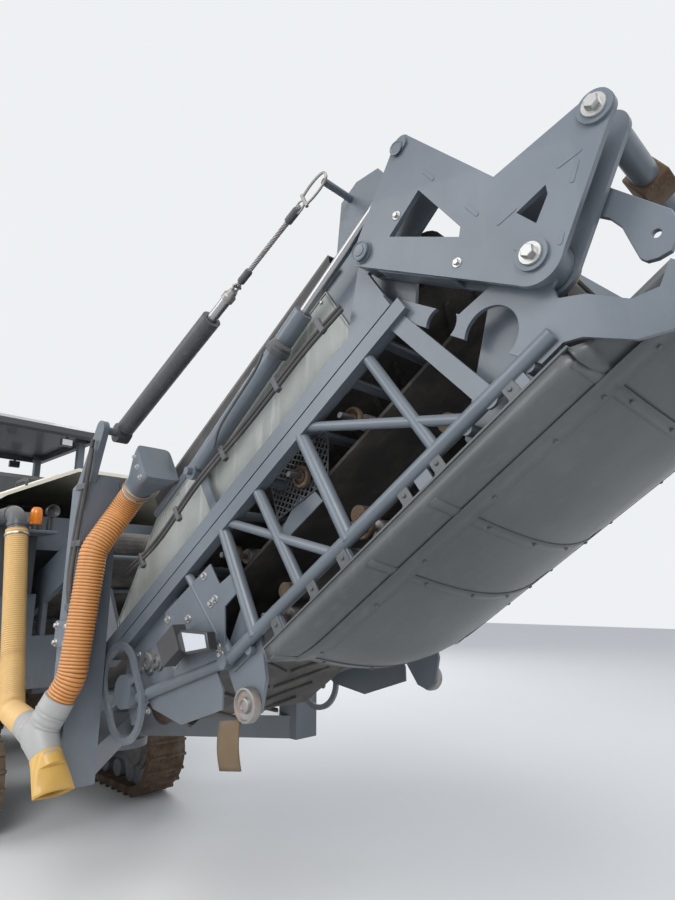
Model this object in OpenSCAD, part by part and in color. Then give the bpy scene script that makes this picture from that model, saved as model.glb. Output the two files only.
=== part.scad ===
// Compact cold planer milling machine on four tracks, with its front loading
// conveyor folded for transport. Millimetres, +X to the front, +Y to the left,
// +Z up, origin on the ground under the middle of the machine.

/* [Main frame] */
// Front face of the frame boxes
frame_front_x = 850; // [800:10:900]
// Rear face of the frame
frame_rear_x = -5000; // [-5200:10:-4900]
// Half width of the body
body_half_w = 1100; // [1080:5:1160]
// Height of the frame's underside
frame_under_z = 980; // [960:5:1000]
// Height of the frame's top
frame_top_z = 1500; // [1460:5:1540]
// Half width of the tunnel between the front frame boxes
tunnel_half_w = 460; // [450:5:470]
// Plate thickness of covers and walls
wall_t = 20; // [12:1:24]

/* [Lifting columns] */
// Front columns, distance in front of the origin
front_leg_x = 60; // [20:5:100]
// Front columns, half of their spacing
front_leg_y = 650; // [640:5:670]
// Rear columns, place along the machine
rear_leg_x = -3900; // [-4000:10:-3800]
// Outer tube diameter
column_d = 260; // [230:5:280]
// Inner tube diameter
inner_column_d = 200; // [160:5:220]
// Underside of the outer tubes
column_under_z = 900; // [880:5:920]
// Top of the front tubes
front_column_top_z = 1900; // [1800:10:1980]
// Top of the rear tubes
rear_column_top_z = 1720; // [1650:10:1740]

/* [Tracks] */
// Length of a track
track_l = 1500; // [1300:10:1560]
// Height of a track over its shoes
track_h = 650; // [580:5:680]
// Width of the shoes
track_w = 300; // [240:5:320]
// Number of shoes on a track
shoe_count = 36; // [24:2:44]
// Height of the shoe's bar
shoe_lug_h = 22; // [12:1:30]
// Thickness of the track band
track_band_t = 48; // [36:2:60]
// Rollers under a track frame
roller_count = 4; // [3:1:5]

/* [Milling drum] */
// Place of the drum axis along the machine
drum_x = -1900; // [-1930:5:-1870]
// Height of the drum axis
drum_z = 620; // [600:5:640]
// Diameter over the pick tips
drum_tip_d = 980; // [940:10:1000]
// Diameter of the drum tube
drum_tube_d = 780; // [740:10:800]
// Milling width
drum_w = 1500; // [1400:10:1500]
// Number of picks
pick_count = 96; // [48:4:110]
// Underside of the side plates and the scraper
skirt_z = 130; // [110:5:180]

/* [Engine and platform] */
// Front face of the engine hood
hood_front_x = -2930; // [-2960:5:-2920]
// Lower edge of the engine hood
hood_under_z = 1755; // [1755:5:1790]
// Top of the engine hood
hood_top_z = 2350; // [2250:10:2450]
// Top of the platform floor
deck_z = 1750; // [1740:5:1750]
// Top of the canopy
roof_top_z = 3300; // [3200:10:3400]
// Front edge of the canopy
roof_front_x = -1230; // [-1300:10:-1150]
// Length of the canopy
roof_l = 1750; // [1600:10:1850]
// Half width of the canopy
roof_half_w = 820; // [780:10:900]

/* [Slewing yoke] */
// Slewing axis, place along the machine
slew_x = 1250; // [1240:5:1270]
// Slewing pin diameter
slew_pin_d = 100; // [80:5:110]
// Front face of the yoke columns
yoke_front_x = 2260; // [2240:5:2265]
// Column depth along the machine
yoke_column_l = 160; // [140:5:180]
// Inner face of the yoke columns
yoke_inner_y = 625; // [622:1:640]
// Column width across the machine
yoke_column_w = 170; // [140:5:190]
// Top of the yoke columns
yoke_top_z = 2080; // [2000:10:2120]
// Underside of the yoke arms
yoke_under_z = 640; // [620:5:660]
// Height of the yoke arms
yoke_arm_h = 130; // [100:5:140]

/* [Conveyor geometry] */
// Slope of the folded conveyor, in degrees
boom_slope = 34; // [32:1:36]
// Fold lever pivot, place along the machine
lever_x = 3957; // [3900:1:4000]
// Fold lever pivot, height
lever_z = 2660; // [2600:1:2700]
// Middle plane of the side rails
rail_y = 576; // [574:1:578]
// Side rail width
rail_w = 50; // [40:1:50]
// Side rail height
rail_h = 60; // [50:1:60]
// Width of the belts
belt_w = 860; // [760:10:880]
// Belt thickness
belt_t = 14; // [10:1:18]
// Hinge pin diameter
pin_d = 60; // [40:2:70]
// Radial clearance of the hinge pins
pin_gap = 0.5; // [0.3:0.1:1]
// Thickness of the twin lever plates
lever_t = 20; // [12:1:20]
// Distance from the middle of one twin plate to the other
lever_gap = 100; // [98:1:104]

/* [Fold and lift cylinders] */
// Barrel diameter of the fold cylinders
fold_barrel_d = 80; // [70:2:84]
// Rod diameter of the fold cylinders
fold_rod_d = 40; // [30:2:45]
// Barrel diameter of the lift cylinders
lift_barrel_d = 90; // [80:2:100]
// Rod diameter of the lift cylinders
lift_rod_d = 50; // [40:2:60]
// Diameter of the wire ropes
rope_d = 24; // [16:1:30]

/* [Dust hood] */
// Sheet thickness of the dust hood
dust_hood_t = 8; // [5:1:12]
// Suction hose diameter
hose_d = 130; // [100:5:140]

/* [Hidden] */
$fn = 48;

paint = [0.40, 0.43, 0.47];
dark_paint = [0.22, 0.23, 0.25];
cream = [0.93, 0.91, 0.83];
steel = [0.70, 0.71, 0.72];
rust = [0.36, 0.27, 0.20];
rubber = [0.09, 0.09, 0.10];
canvas = [0.58, 0.60, 0.59];
hose_tan = [0.80, 0.60, 0.30];
hose_orange = [0.76, 0.45, 0.20];
amber = [0.95, 0.45, 0.05];

// Small running clearance between faces of two bodies
face_gap = 0.3;

// Half width inside the drum housing, and what stands on it
housing_half_w = drum_w / 2 + 50;
beam_inner_y = housing_half_w + 80;
rear_leg_y = body_half_w - 150;

// Boom axes: s runs up along the belt from the lever pivot, n is square to it
lever_eye = [0, 0];
rod_eye = [339, 177];
fold_eye = [363, -569];
torsion_eye = [726, -398];
fold_base = [-1250, 90];
rope_eye = [60, 400];
lift_eye = [-2464.5, -243.5];
tower_eye = [2320, 2300];
eye_r = 50;

rail_n = -210;
rail_inner_y = rail_y - rail_w / 2;
rail_outer_y = rail_y + rail_w / 2;
twin_y = rail_y - 10;
inner_plate_y = twin_y - lever_gap / 2;
outer_plate_y = twin_y + lever_gap / 2;
wall_y = inner_plate_y - lever_t / 2 - 16;
boss_half = lever_gap / 2 - lever_t / 2 - 5;
strut_y = outer_plate_y + lever_t / 2 + 38;
rear_end_s = -2880;
belt_half = belt_w / 2;

// Children drawn in the boom axes, with x along s and z along n
module on_boom() {
    translate([lever_x, 0, lever_z]) rotate([0, -boom_slope, 0]) children();
}

// A profile drawn in x and z becomes a plate whose middle plane is at y
module plate(y, t) {
    translate([0, y + t / 2, 0]) rotate([90, 0, 0]) linear_extrude(t) children();
}

// A profile drawn in y and z, drawn out along x from x0 to x1
module along_x(x0, x1) {
    translate([x0, 0, 0]) rotate([90, 0, 90]) linear_extrude(x1 - x0) children();
}

// The children and their mirror image on the other side of the machine
module pair() {
    children();
    mirror([0, 1, 0]) children();
}

// A round bar across the machine at x and z, from y0 to y1
module cross_bar(at, d, y0, y1) {
    translate([at[0], y1, at[1]]) rotate([90, 0, 0]) cylinder(d = d, h = y1 - y0);
}

// A round bar in the plane y, from one point in x and z to another
module bar(from, to, y, d) {
    run = to - from;
    translate([from[0], y, from[1]])
        rotate([0, 90 - atan2(run[1], run[0]), 0])
            cylinder(d = d, h = norm(run));
}

// A box given by its lowest and highest corners
module box(low, high) {
    translate(low) cube(high - low);
}

// Flat link between two round eyes, with straight tangent edges
module link(p, rp, q, rq) {
    run = q - p;
    a = atan2(run[1], run[0]);
    b = acos((rp - rq) / norm(run));
    translate(p) circle(rp);
    translate(q) circle(rq);
    // The corners stay just inside the eyes, so that arcs and edges cross
    ip = 0.985 * rp;
    iq = 0.985 * rq;
    polygon([p + ip * [cos(a + b), sin(a + b)], q + iq * [cos(a + b), sin(a + b)],
        q + iq * [cos(a - b), sin(a - b)], p + ip * [cos(a - b), sin(a - b)]]);
}

// Points of a belt or track loop: two half circles of radius r, l apart
function loop_points(l, r, steps) = concat(
    [for (i = [0 : steps]) [l / 2 + r * sin(180 * i / steps), r * cos(180 * i / steps)]],
    [for (i = [0 : steps]) [-l / 2 - r * sin(180 * i / steps), -r * cos(180 * i / steps)]]);

// Largest round that turns inside a loop of inner radius r drawn in steps
function inside_loop(r, steps) = r * cos(90 / steps) - face_gap;

// Place on a loop's outline at distance d from its top left corner, as
// [x, z, direction of the outward normal in degrees]
function loop_place(d, l, r) =
    d < l ? [-l / 2 + d, r, 90] :
    d < l + PI * r ? let (a = 90 - (d - l) / r * 180 / PI) [l / 2 + r * cos(a), r * sin(a), a] :
    d < 2 * l + PI * r ? [l / 2 - (d - l - PI * r), -r, -90] :
    let (a = -90 - (d - 2 * l - PI * r) / r * 180 / PI) [-l / 2 + r * cos(a), r * sin(a), a];

// Outline of a track with a bar on each shoe
function shoe_points(l, r, count, lug_h) =
    let (pitch = (2 * l + 2 * PI * r) / count)
    [for (i = [0 : count - 1], part = [[0.08, 0], [0.30, 0], [0.36, 1], [0.50, 1], [0.56, 0], [0.94, 0]])
        let (place = loop_place((i + part[0]) * pitch, l, r))
        [place[0], place[1]] + part[1] * lug_h * [cos(place[2]), sin(place[2])]];

// Frame

nose_top_z = 1230;
nose_under_z = 560;
nose_t = 50;
bulkhead_x = -1300;
mid_rear_x = -2850;
floor_z = 1250;
tie_y = 520;
tie_z = 1130;
tie_t = 40;
tie_hole_d = 60;

module frame_side() {
    // Front box
    box([bulkhead_x, tunnel_half_w, frame_under_z], [frame_front_x, beam_inner_y, frame_top_z]);
    // Middle beam beside the drum housing
    box([mid_rear_x, beam_inner_y, frame_under_z + 20], [bulkhead_x + 100, body_half_w, frame_top_z]);
    // Rear box
    box([frame_rear_x, housing_half_w, frame_under_z + 20], [mid_rear_x, body_half_w, frame_top_z]);
    // Outer tubes of the lifting columns
    translate([front_leg_x, front_leg_y, column_under_z])
        cylinder(d = column_d, h = front_column_top_z - column_under_z);
    translate([rear_leg_x, rear_leg_y, column_under_z])
        cylinder(d = column_d, h = rear_column_top_z - column_under_z);
}

module main_frame() {
    color(paint) {
        pair() frame_side();
        // Cross members behind the engine and under its floor
        box([frame_rear_x + 100, -housing_half_w, frame_under_z], [frame_rear_x + 260, housing_half_w, 1400]);
        box([frame_rear_x, -housing_half_w, 1330], [frame_rear_x + 101, housing_half_w, 1400]);
        pair() translate([0, 0, tie_z - tie_t / 2]) linear_extrude(tie_t) difference() {
            link([frame_rear_x + 120, tie_y], 80, [frame_rear_x + 55, tie_y], 50);
            translate([frame_rear_x + 55, tie_y]) circle(d = tie_hole_d);
        }
        for (x = [mid_rear_x - 150, -4000])
            box([x, -housing_half_w, floor_z - 50], [x + 150, housing_half_w, floor_z + 10]);
        // Deck over the drum housing
        box([housing_rear_x, -beam_inner_y - 1, housing_top_z],
            [housing_front_x, beam_inner_y + 1, housing_top_z + 40]);
        // Saddle and pins of the loading conveyor
        pair() plate(primary_half_w + 8, 30) polygon([[frame_front_x - 90, nose_top_z - 1],
            [frame_front_x - 10, nose_top_z - 1], [frame_front_x - 10, saddle_z(frame_front_x - 10)],
            [frame_front_x - 90, saddle_z(frame_front_x - 90)]]);
        pair() cross_bar([-700, 1012], 60, primary_half_w + 25 + face_gap, tunnel_half_w + 10);
        // Cross member and nose that carry the slewing pin
        box([frame_front_x - 100, -tunnel_half_w, 900], [frame_front_x, tunnel_half_w, nose_top_z]);
        box([frame_front_x - 60, -180, nose_under_z], [frame_front_x, 180, 900]);
        for (z = [nose_under_z, nose_top_z - nose_t])
            translate([0, 0, z]) linear_extrude(nose_t) {
                translate([frame_front_x, -180]) square([slew_x - frame_front_x, 360]);
                translate([slew_x, 0]) circle(180);
            }
        translate([slew_x, 0, nose_under_z]) cylinder(d = slew_pin_d, h = nose_top_z - nose_under_z);
    }
}

// Drum housing, drum and what closes it

housing_front_x = drum_x + 580;
housing_rear_x = drum_x - 580;
housing_top_z = 1230;
housing_r = drum_tip_d / 2 + 40;

module drum_housing() {
    color(paint) {
        difference() {
            plate(0, 2 * housing_half_w) difference() {
                translate([housing_rear_x, drum_z - 60])
                    square([housing_front_x - housing_rear_x, housing_top_z - drum_z + 60]);
                translate([drum_x, drum_z]) circle(housing_r);
            }
            // Mouth towards the loading conveyor
            box([drum_x + 300, -400, drum_z - 100], [housing_front_x + 10, 400, 1010]);
        }
        // End plates with the drum's bearings
        pair() plate(housing_half_w + wall_t / 2, wall_t) union() {
            translate([housing_rear_x, 700])
                square([housing_front_x - housing_rear_x, housing_top_z - 700]);
            translate([drum_x, drum_z]) circle(270);
        }
        pair() cross_bar([drum_x, drum_z], 300, drum_w / 2 + face_gap, housing_half_w + 5);
        // Lugs of the scraper's hinge
        pair() plate(housing_half_w - 35 + face_gap, 30)
            link([housing_rear_x + 60, scraper_hinge[1]], 50, scraper_hinge, 45);
    }
}

pick_h = (drum_tip_d - drum_tube_d) / 2;
pick_step = (drum_w - 60) / (pick_count - 1);
pick_turn = 18;
pick_starts = 2;

// Tool holder with its pick, standing on the drum's surface
module pick() {
    rotate([90, 0, 0]) linear_extrude(46, center = true)
        polygon([[-50, -6], [40, -6], [34, 34], [2, 62], [-22, 52]]);
    translate([8, 0, 44]) rotate([0, -40, 0]) cylinder(d1 = 34, d2 = 8, h = pick_h - 38);
}

// Drum tube with the picks in two V-shaped helices
module milling_drum() {
    color(rust) for (i = [0 : pick_count - 1])
        translate([drum_x, -drum_w / 2 + 30 + i * pick_step, drum_z])
            rotate([0, (i < pick_count / 2 ? 1 : -1) * i * pick_turn + (i % pick_starts) * 360 / pick_starts, 0])
                translate([0, 0, drum_tube_d / 2])
                    pick();
    color(dark_paint) cross_bar([drum_x, drum_z], drum_tube_d, -drum_w / 2, drum_w / 2);
}

side_plate_y = housing_half_w + wall_t + 15;
side_plate_l = 1180;

module side_plate() {
    plate(side_plate_y, 25) difference() {
        translate([drum_x - side_plate_l / 2, skirt_z]) square([side_plate_l, 790]);
        for (end = [-1, 1])
            translate([drum_x + end * side_plate_l / 2, skirt_z]) rotate(45) square(180, center = true);
    }
    box([drum_x - 480, side_plate_y - 12.5, skirt_z], [drum_x + 480, side_plate_y + 40, skirt_z + 50]);
}

module side_plate_left() {
    color(dark_paint) side_plate();
}

module side_plate_right() {
    color(dark_paint) mirror([0, 1, 0]) side_plate();
}

scraper_hinge = [housing_rear_x - 45, 1130];

module scraper() {
    color(dark_paint) {
        box([scraper_hinge[0] - 20, -housing_half_w + 50, skirt_z],
            [scraper_hinge[0] + 15, housing_half_w - 50, scraper_hinge[1]]);
        cross_bar(scraper_hinge, 60, -housing_half_w + 50, housing_half_w - 50);
        for (y = [-450, 0, 450])
            box([scraper_hinge[0] - 70, y - 12, skirt_z + 60],
                [scraper_hinge[0] - 20, y + 12, scraper_hinge[1] - 60]);
    }
}

// Legs and tracks

track_r = track_h / 2 - shoe_lug_h;
track_run = track_l - 2 * shoe_lug_h - 2 * track_r;
track_inner_r = track_r - track_band_t;
track_steps = 12;
hub_z = track_h / 2;

module track(x, y) {
    color(rust) translate([x, 0, hub_z]) plate(y, track_w) difference() {
        polygon(shoe_points(track_run, track_r, shoe_count, shoe_lug_h));
        polygon(loop_points(track_run, track_inner_r, track_steps));
    }
}

wheel_r = inside_loop(track_inner_r, track_steps);
yoke_leg_t = 30;
leg_fork_z = 840;

// Track frame with its wheels and rollers, the fork over the track and the
// inner tube of the lifting column
module leg(x, y) {
    color(paint) {
        translate([x, y, 0]) {
            difference() {
                translate([0, 0, leg_fork_z - 30])
                    cylinder(d = inner_column_d, h = column_under_z - face_gap - leg_fork_z + 30);
            }
            // Fork
            box([-240, -track_w / 2 - 15 - yoke_leg_t, leg_fork_z - 60],
                [240, track_w / 2 + 15 + yoke_leg_t, leg_fork_z]);
            for (side = [-1, 1])
                plate(side * (track_w / 2 + 15 + yoke_leg_t / 2), yoke_leg_t)
                    polygon([[-240, leg_fork_z], [240, leg_fork_z], [110, 200], [-110, 200]]);
            cross_bar([0, 260], 90, -track_w / 2 - 20, track_w / 2 + 20);
            // Beam between the wheels
            box([-track_run / 2, -60, 200], [track_run / 2, 60, 440]);
        }
    }
    color(dark_paint) translate([x, y, 0]) {
        for (end = [-1, 1])
            cross_bar([end * track_run / 2, hub_z], 2 * wheel_r, -75, 75);
        for (i = [0 : roller_count - 1])
            cross_bar([(i - (roller_count - 1) / 2) * track_run / roller_count,
                hub_z - track_inner_r + face_gap + 65], 130, -80, 80);
        cross_bar([0, hub_z + track_inner_r - face_gap - 40], 80, -70, 70);
        box([-20, -30, 430], [20, 30, hub_z + track_inner_r - 40]);
    }
}

module leg_front_left() { leg(front_leg_x, front_leg_y); }
module leg_front_right() { leg(front_leg_x, -front_leg_y); }
module leg_rear_left() { leg(rear_leg_x, rear_leg_y); }
module leg_rear_right() { leg(rear_leg_x, -rear_leg_y); }
module track_front_left() { track(front_leg_x, front_leg_y); }
module track_front_right() { track(front_leg_x, -front_leg_y); }
module track_rear_left() { track(rear_leg_x, rear_leg_y); }
module track_rear_right() { track(rear_leg_x, -rear_leg_y); }

// Loading conveyor through the frame

primary_slope = 23.2;
primary_low = [-1130, 745];
primary_head = [1450, 1850];
primary_half_w = 380;

module primary_line() {
    translate([primary_head[0], 0, primary_head[1]]) rotate([0, -primary_slope, 0]) children();
}

primary_l = norm(primary_head - primary_low);

// Height of the loading conveyor's underside at x
function saddle_z(x) =
    primary_head[1] - (primary_head[0] - x) * tan(primary_slope) - (130 + face_gap) / cos(primary_slope);

primary_drum_r = 90;

module primary_conveyor() {
    color(paint) primary_line() {
        pair() difference() {
            box([-primary_l, primary_half_w - 10, -130], [60, primary_half_w + 25, 110]);
            box([-primary_l - 1, primary_half_w - 11, -40], [-primary_l + 40, primary_half_w + 26, 111]);
        }
        for (i = [0 : 5])
            cross_bar([-primary_l + 150 + i * (primary_l - 200) / 5, -112], 30,
                -primary_half_w, primary_half_w);
    }
}

module primary_belt() {
    color(rubber) primary_line() translate([-(primary_l - 60) / 2, 0, 0])
        plate(0, 2 * primary_half_w - 60) difference() {
            polygon(loop_points(primary_l - 100 - 2 * primary_drum_r, primary_drum_r, 10));
            polygon(loop_points(primary_l - 100 - 2 * primary_drum_r, primary_drum_r - belt_t, 10));
        }
    color(steel) primary_line() for (end = [0, 1])
        cross_bar([-(primary_l - 60) / 2 + (end - 0.5) * (primary_l - 100 - 2 * primary_drum_r), 0],
            2 * inside_loop(primary_drum_r - belt_t, 10), -primary_half_w + 10 + face_gap,
            primary_half_w - 10 - face_gap);
}

// Bodywork

tank_rear_x = bulkhead_x + 5;
tank_front_x = 600;
tank_top_z = 2050;

module water_tank() {
    color(paint) difference() {
        box([tank_rear_x, -beam_inner_y + 10, frame_top_z],
            [tank_front_x, beam_inner_y - 10, tank_top_z]);
        // Tunnel for the loading conveyor
        plate(0, 2 * tunnel_half_w) polygon([[-1400, 900], [1000, 900], [1000, 1980], [-1400, 960]]);
        for (side = [-1, 1])
            translate([front_leg_x, side * front_leg_y, frame_top_z - 1])
                cylinder(d = column_d + 8, h = front_column_top_z - frame_top_z + 20);
    }
}

cover_y = beam_inner_y - 20;

module conveyor_cover() {
    color(cream) along_x(tank_rear_x, frame_front_x) difference() {
        polygon([[-cover_y, tank_top_z + face_gap], [-cover_y, 2100], [-720, 2160], [-260, 2390], [260, 2390],
            [720, 2160], [cover_y, 2100], [cover_y, tank_top_z + face_gap]]);
        polygon([[-cover_y + 20, 2050], [-715, 2140], [-255, 2365], [255, 2365], [715, 2140],
            [cover_y - 20, 2050]]);
    }
}

module front_pods() {
    color(dark_paint) pair() {
        difference() {
            box([tank_front_x + 2, 500, frame_top_z], [frame_front_x + 20, beam_inner_y - 10, 2049]);
            translate([frame_front_x + 20, 0, 2049]) rotate([0, 40, 0])
                box([-120, 0, -60], [200, 900, 200]);
        }
    }
}

module platform() {
    color(dark_paint) {
        box([mid_rear_x + 10, -body_half_w + 10, deck_z - 40], [bulkhead_x - 5, body_half_w - 10, deck_z]);
        pair() box([mid_rear_x + 10, body_half_w - 40, frame_top_z],
            [bulkhead_x - 5, body_half_w - 10, deck_z - 40]);
        for (x = [mid_rear_x + 10, -2100, bulkhead_x - 45])
            box([x, -body_half_w + 40, deck_z - 120], [x + 40, body_half_w - 40, deck_z - 40]);
    }
}

module console() {
    color(dark_paint) {
        plate(0, 1300) polygon([[bulkhead_x - 10, deck_z], [bulkhead_x - 10, 2650],
            [-1400, 2700], [-1620, 2560], [-1600, 2500], [-1420, 2450], [-1420, deck_z]]);
    }
    color(rubber) pair() translate([-1560, 420, 2598]) cylinder(d = 34, h = 90);
}

module seat_shape() {
    box([-240, -220, 330], [220, 220, 430]);
    translate([-240, 0, 380]) rotate([0, -12, 0]) box([-60, -210, 0], [30, 210, 560]);
    translate([-20, 0, 0]) cylinder(d = 150, h = 340);
    pair() box([-220, 225, 540], [120, 275, 575]);
    pair() box([-200, 215, 400], [-160, 250, 560]);
}

module seats() {
    color(rubber) for (side = [-1, 1]) translate([-2250, side * 560, deck_z]) seat_shape();
}

rail_post_d = 40;

module handrails() {
    color(paint) pair() {
        for (x = [-2760, -2300, -1900, -1400])
            translate([x, body_half_w - 50, deck_z]) cylinder(d = rail_post_d, h = 950);
        for (z = [deck_z + 480, deck_z + 950])
            for (run = [[-2760, -2300], [-1900, -1400]])
                translate([run[0], body_half_w - 50, z]) rotate([0, 90, 0])
                    cylinder(d = rail_post_d, h = run[1] - run[0]);
        for (x = [-2760, -2300, -1900, -1400])
            translate([x, body_half_w - 50, deck_z + 950]) sphere(d = rail_post_d);
    }
}

post_top_z = roof_top_z - 150;

module canopy_posts() {
    color(paint) pair() for (x = [-1500, -2780])
        translate([x, roof_half_w - 110, deck_z]) box([-35, -35, 0], [35, 35, post_top_z - deck_z]);
}

module canopy_roof() {
    color(dark_paint) difference() {
        plate(0, 2 * roof_half_w) polygon([[roof_front_x, post_top_z + 20],
            [roof_front_x - 40, post_top_z], [roof_front_x - roof_l + 40, post_top_z],
            [roof_front_x - roof_l, post_top_z + 20], [roof_front_x - roof_l, roof_top_z - 50],
            [roof_front_x - roof_l + 120, roof_top_z], [roof_front_x - 160, roof_top_z],
            [roof_front_x, roof_top_z - 70]]);
        // Dished underside inside the fascia
        box([roof_front_x - roof_l + 60, -roof_half_w + 60, post_top_z - 1],
            [roof_front_x - 60, roof_half_w - 60, post_top_z + 60]);
    }
    color(paint) pair() for (x = [-1500, -2780])
        translate([x, roof_half_w - 110, post_top_z]) box([-50, -48, 0], [50, 48, 62]);
}

module lamps() {
    color(paint) {
        // Bracket for the beacon and the horn
        box([frame_front_x + 20 + face_gap, -640, 1880], [frame_front_x + 270, -470, 1900]);
    }
    color(amber) translate([1090, -600, 1900]) cylinder(d = 80, h = 150);
    color(rubber) translate([1060, -500, 1900]) {
        cylinder(d = 40, h = 130);
        translate([-20, 0, 150]) rotate([0, 90, 0]) cylinder(d = 85, h = 70);
    }
}

module ladders() {
    color(dark_paint) pair() {
        for (x = [-2300, -1900])
            box([x - 20, body_half_w, 620], [x + 20, body_half_w + 130, 1480]);
        for (i = [0 : 3])
            box([-2300, body_half_w + 5, 640 + i * 250], [-1900, body_half_w + 130, 665 + i * 250]);
    }
}

module engine_block() {
    color(dark_paint) box([-4600, -480, floor_z + 10], [-3120, 480, 1980]);
}

grille_half_w = 760;

hood_hinge = [hood_front_x, hood_top_z - 10];

module engine_bay() {
    color(paint) {
        pair() box([frame_rear_x + 5, body_half_w - 19, frame_top_z],
            [hood_front_x + 40, body_half_w - 5, hood_under_z - face_gap]);
        // Bulkhead towards the platform
        box([hood_front_x + 10, -housing_half_w, floor_z + 10],
            [hood_front_x + 30, housing_half_w, frame_top_z + 1]);
        box([hood_front_x + 10, -body_half_w + 18, frame_top_z],
            [hood_front_x + 30, body_half_w - 18, hood_top_z - 60]);
        // Rear wall with the grille's opening
        difference() {
            union() {
                box([frame_rear_x + 5, -body_half_w + 18, frame_top_z],
                    [frame_rear_x + 25, body_half_w - 18, hood_under_z - face_gap]);
                box([frame_rear_x + 5, -housing_half_w, 1400],
                    [frame_rear_x + 25, housing_half_w, frame_top_z + 1]);
            }
            box([frame_rear_x, -grille_half_w, 1440], [frame_rear_x + 30, grille_half_w, hood_under_z - 45]);
        }
        // Lugs and pins of the hood's hinge
        pair() plate(625, 20) link([hood_front_x + 20, hood_top_z - 110], 16, hood_hinge, 24);
        pair() cross_bar(hood_hinge, 20, 450, 630);
    }
}

module rear_grille() {
    color(dark_paint) {
        for (i = [0 : 8])
            translate([frame_rear_x + 15, 0, 1462 + i * 28]) rotate([0, 35, 0])
                box([-12, -grille_half_w, -2], [12, grille_half_w, 2]);
        for (y = [-grille_half_w + 2, -260, 260, grille_half_w - 2])
            box([frame_rear_x + 8, y - 2, 1440 + face_gap], [frame_rear_x + 22, y + 2, hood_under_z - 45 - face_gap]);
    }
}

hood_half_w = body_half_w - 8;

module hood_section(inset) {
    w = hood_half_w - inset;
    top = hood_top_z - inset;
    polygon([[-w, hood_under_z - (inset > 0 ? 1 : 0)], [-w, top - 220], [-w + 220, top],
        [w - 220, top], [w, top - 220], [w, hood_under_z - (inset > 0 ? 1 : 0)]]);
}

module engine_hood() {
    color(paint) {
        difference() {
            union() {
                difference() {
                    along_x(frame_rear_x + 8, hood_front_x) hood_section(0);
                    along_x(frame_rear_x + 28, hood_front_x + 1) hood_section(wall_t);
                }
                pair() cross_bar(hood_hinge, 44, 400, 600);
            }
            // Slots for the lugs and bores for the pins
            pair() box([hood_hinge[0] - 34, 606, hood_hinge[1] - 34], [hood_hinge[0] + 34, 644, hood_hinge[1] + 34]);
            pair() cross_bar(hood_hinge, 20 + 2 * pin_gap, 399, 607);
        }
    }
}

exhaust_at = [-3600, 620];

module exhaust() {
    color(rust) translate([exhaust_at[0], exhaust_at[1], hood_top_z]) {
        difference() {
            cylinder(d = 120, h = 420);
            translate([0, 0, 60]) cylinder(d = 108, h = 400);
        }
    }
}

// Slewing yoke

boss_r = 110;
boss_low_z = nose_under_z + nose_t + face_gap;
boss_top_z = nose_top_z - nose_t - face_gap;
yoke_column_y = yoke_inner_y + yoke_column_w / 2;
yoke_column_x = yoke_front_x - yoke_column_l / 2;
lift_world = [lever_x + lift_eye[0] * cos(boom_slope) - lift_eye[1] * sin(boom_slope),
    lever_z + lift_eye[0] * sin(boom_slope) + lift_eye[1] * cos(boom_slope)];

yoke_outer_y = yoke_inner_y + yoke_column_w;

module slew_yoke() {
    color(paint) difference() {
        union() {
            translate([slew_x, 0, boss_low_z]) cylinder(r = boss_r, h = boss_top_z - boss_low_z);
            translate([0, 0, yoke_under_z]) linear_extrude(yoke_arm_h) {
                link([slew_x, 0], boss_r, [yoke_column_x, yoke_column_y], 80);
                link([slew_x, 0], boss_r, [yoke_column_x, -yoke_column_y], 80);
            }
            pair() {
                along_x(yoke_front_x - yoke_column_l, yoke_front_x)
                    polygon([[yoke_inner_y, yoke_under_z], [yoke_inner_y, yoke_top_z],
                        [yoke_outer_y - 40, yoke_top_z], [yoke_outer_y, yoke_top_z - 60],
                        [yoke_outer_y, yoke_under_z]]);
                // Lug of the lift cylinder
                plate(yoke_column_y + 55, 30)
                    link([yoke_column_x, yoke_top_z - 60], 70, tower_eye, 45);
                // Lug and pin of the lift pivot
                plate(yoke_inner_y + 15, 30) link(lift_world, 70, [yoke_column_x, lift_world[1]], 70);
                cross_bar(lift_world, pin_d, rail_inner_y - 20, yoke_inner_y + 30);
                cross_bar(tower_eye, 40, strut_y - 50, yoke_column_y + 70);
            }
        }
        translate([slew_x, 0, boss_low_z - 1])
            cylinder(d = slew_pin_d + 2 * pin_gap, h = boss_top_z - boss_low_z + 2);
    }
}

// Lift cylinders and ropes, in the plane y = strut_y

rope_world = [lever_x + rope_eye[0] * cos(boom_slope) - rope_eye[1] * sin(boom_slope),
    lever_z + rope_eye[0] * sin(boom_slope) + rope_eye[1] * cos(boom_slope)];
strut_run = rope_world - tower_eye;
strut_l = norm(strut_run);
strut_angle = atan2(strut_run[1], strut_run[0]);
lift_barrel_l = 860;
lift_bore_l = 770;
lift_rod_in = 660;
lift_fitting = 120;

module on_strut() {
    pair() translate([tower_eye[0], strut_y, tower_eye[1]]) rotate([0, -strut_angle, 0]) children();
}

module along_strut(x0, x1, d) {
    translate([x0, 0, 0]) rotate([0, 90, 0]) cylinder(d = d, h = x1 - x0);
}

module lift_barrels() {
    color(dark_paint) on_strut() difference() {
        union() {
            along_strut(50, lift_barrel_l, lift_barrel_d);
            cross_bar([0, 0], 100, -32, 32);
            box([0, -20, -30], [60, 20, 30]);
        }
        along_strut(lift_barrel_l - lift_bore_l, lift_barrel_l + 1, lift_rod_d + 2 * pin_gap);
        cross_bar([0, 0], 40 + 2 * pin_gap, -33, 33);
    }
}

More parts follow.
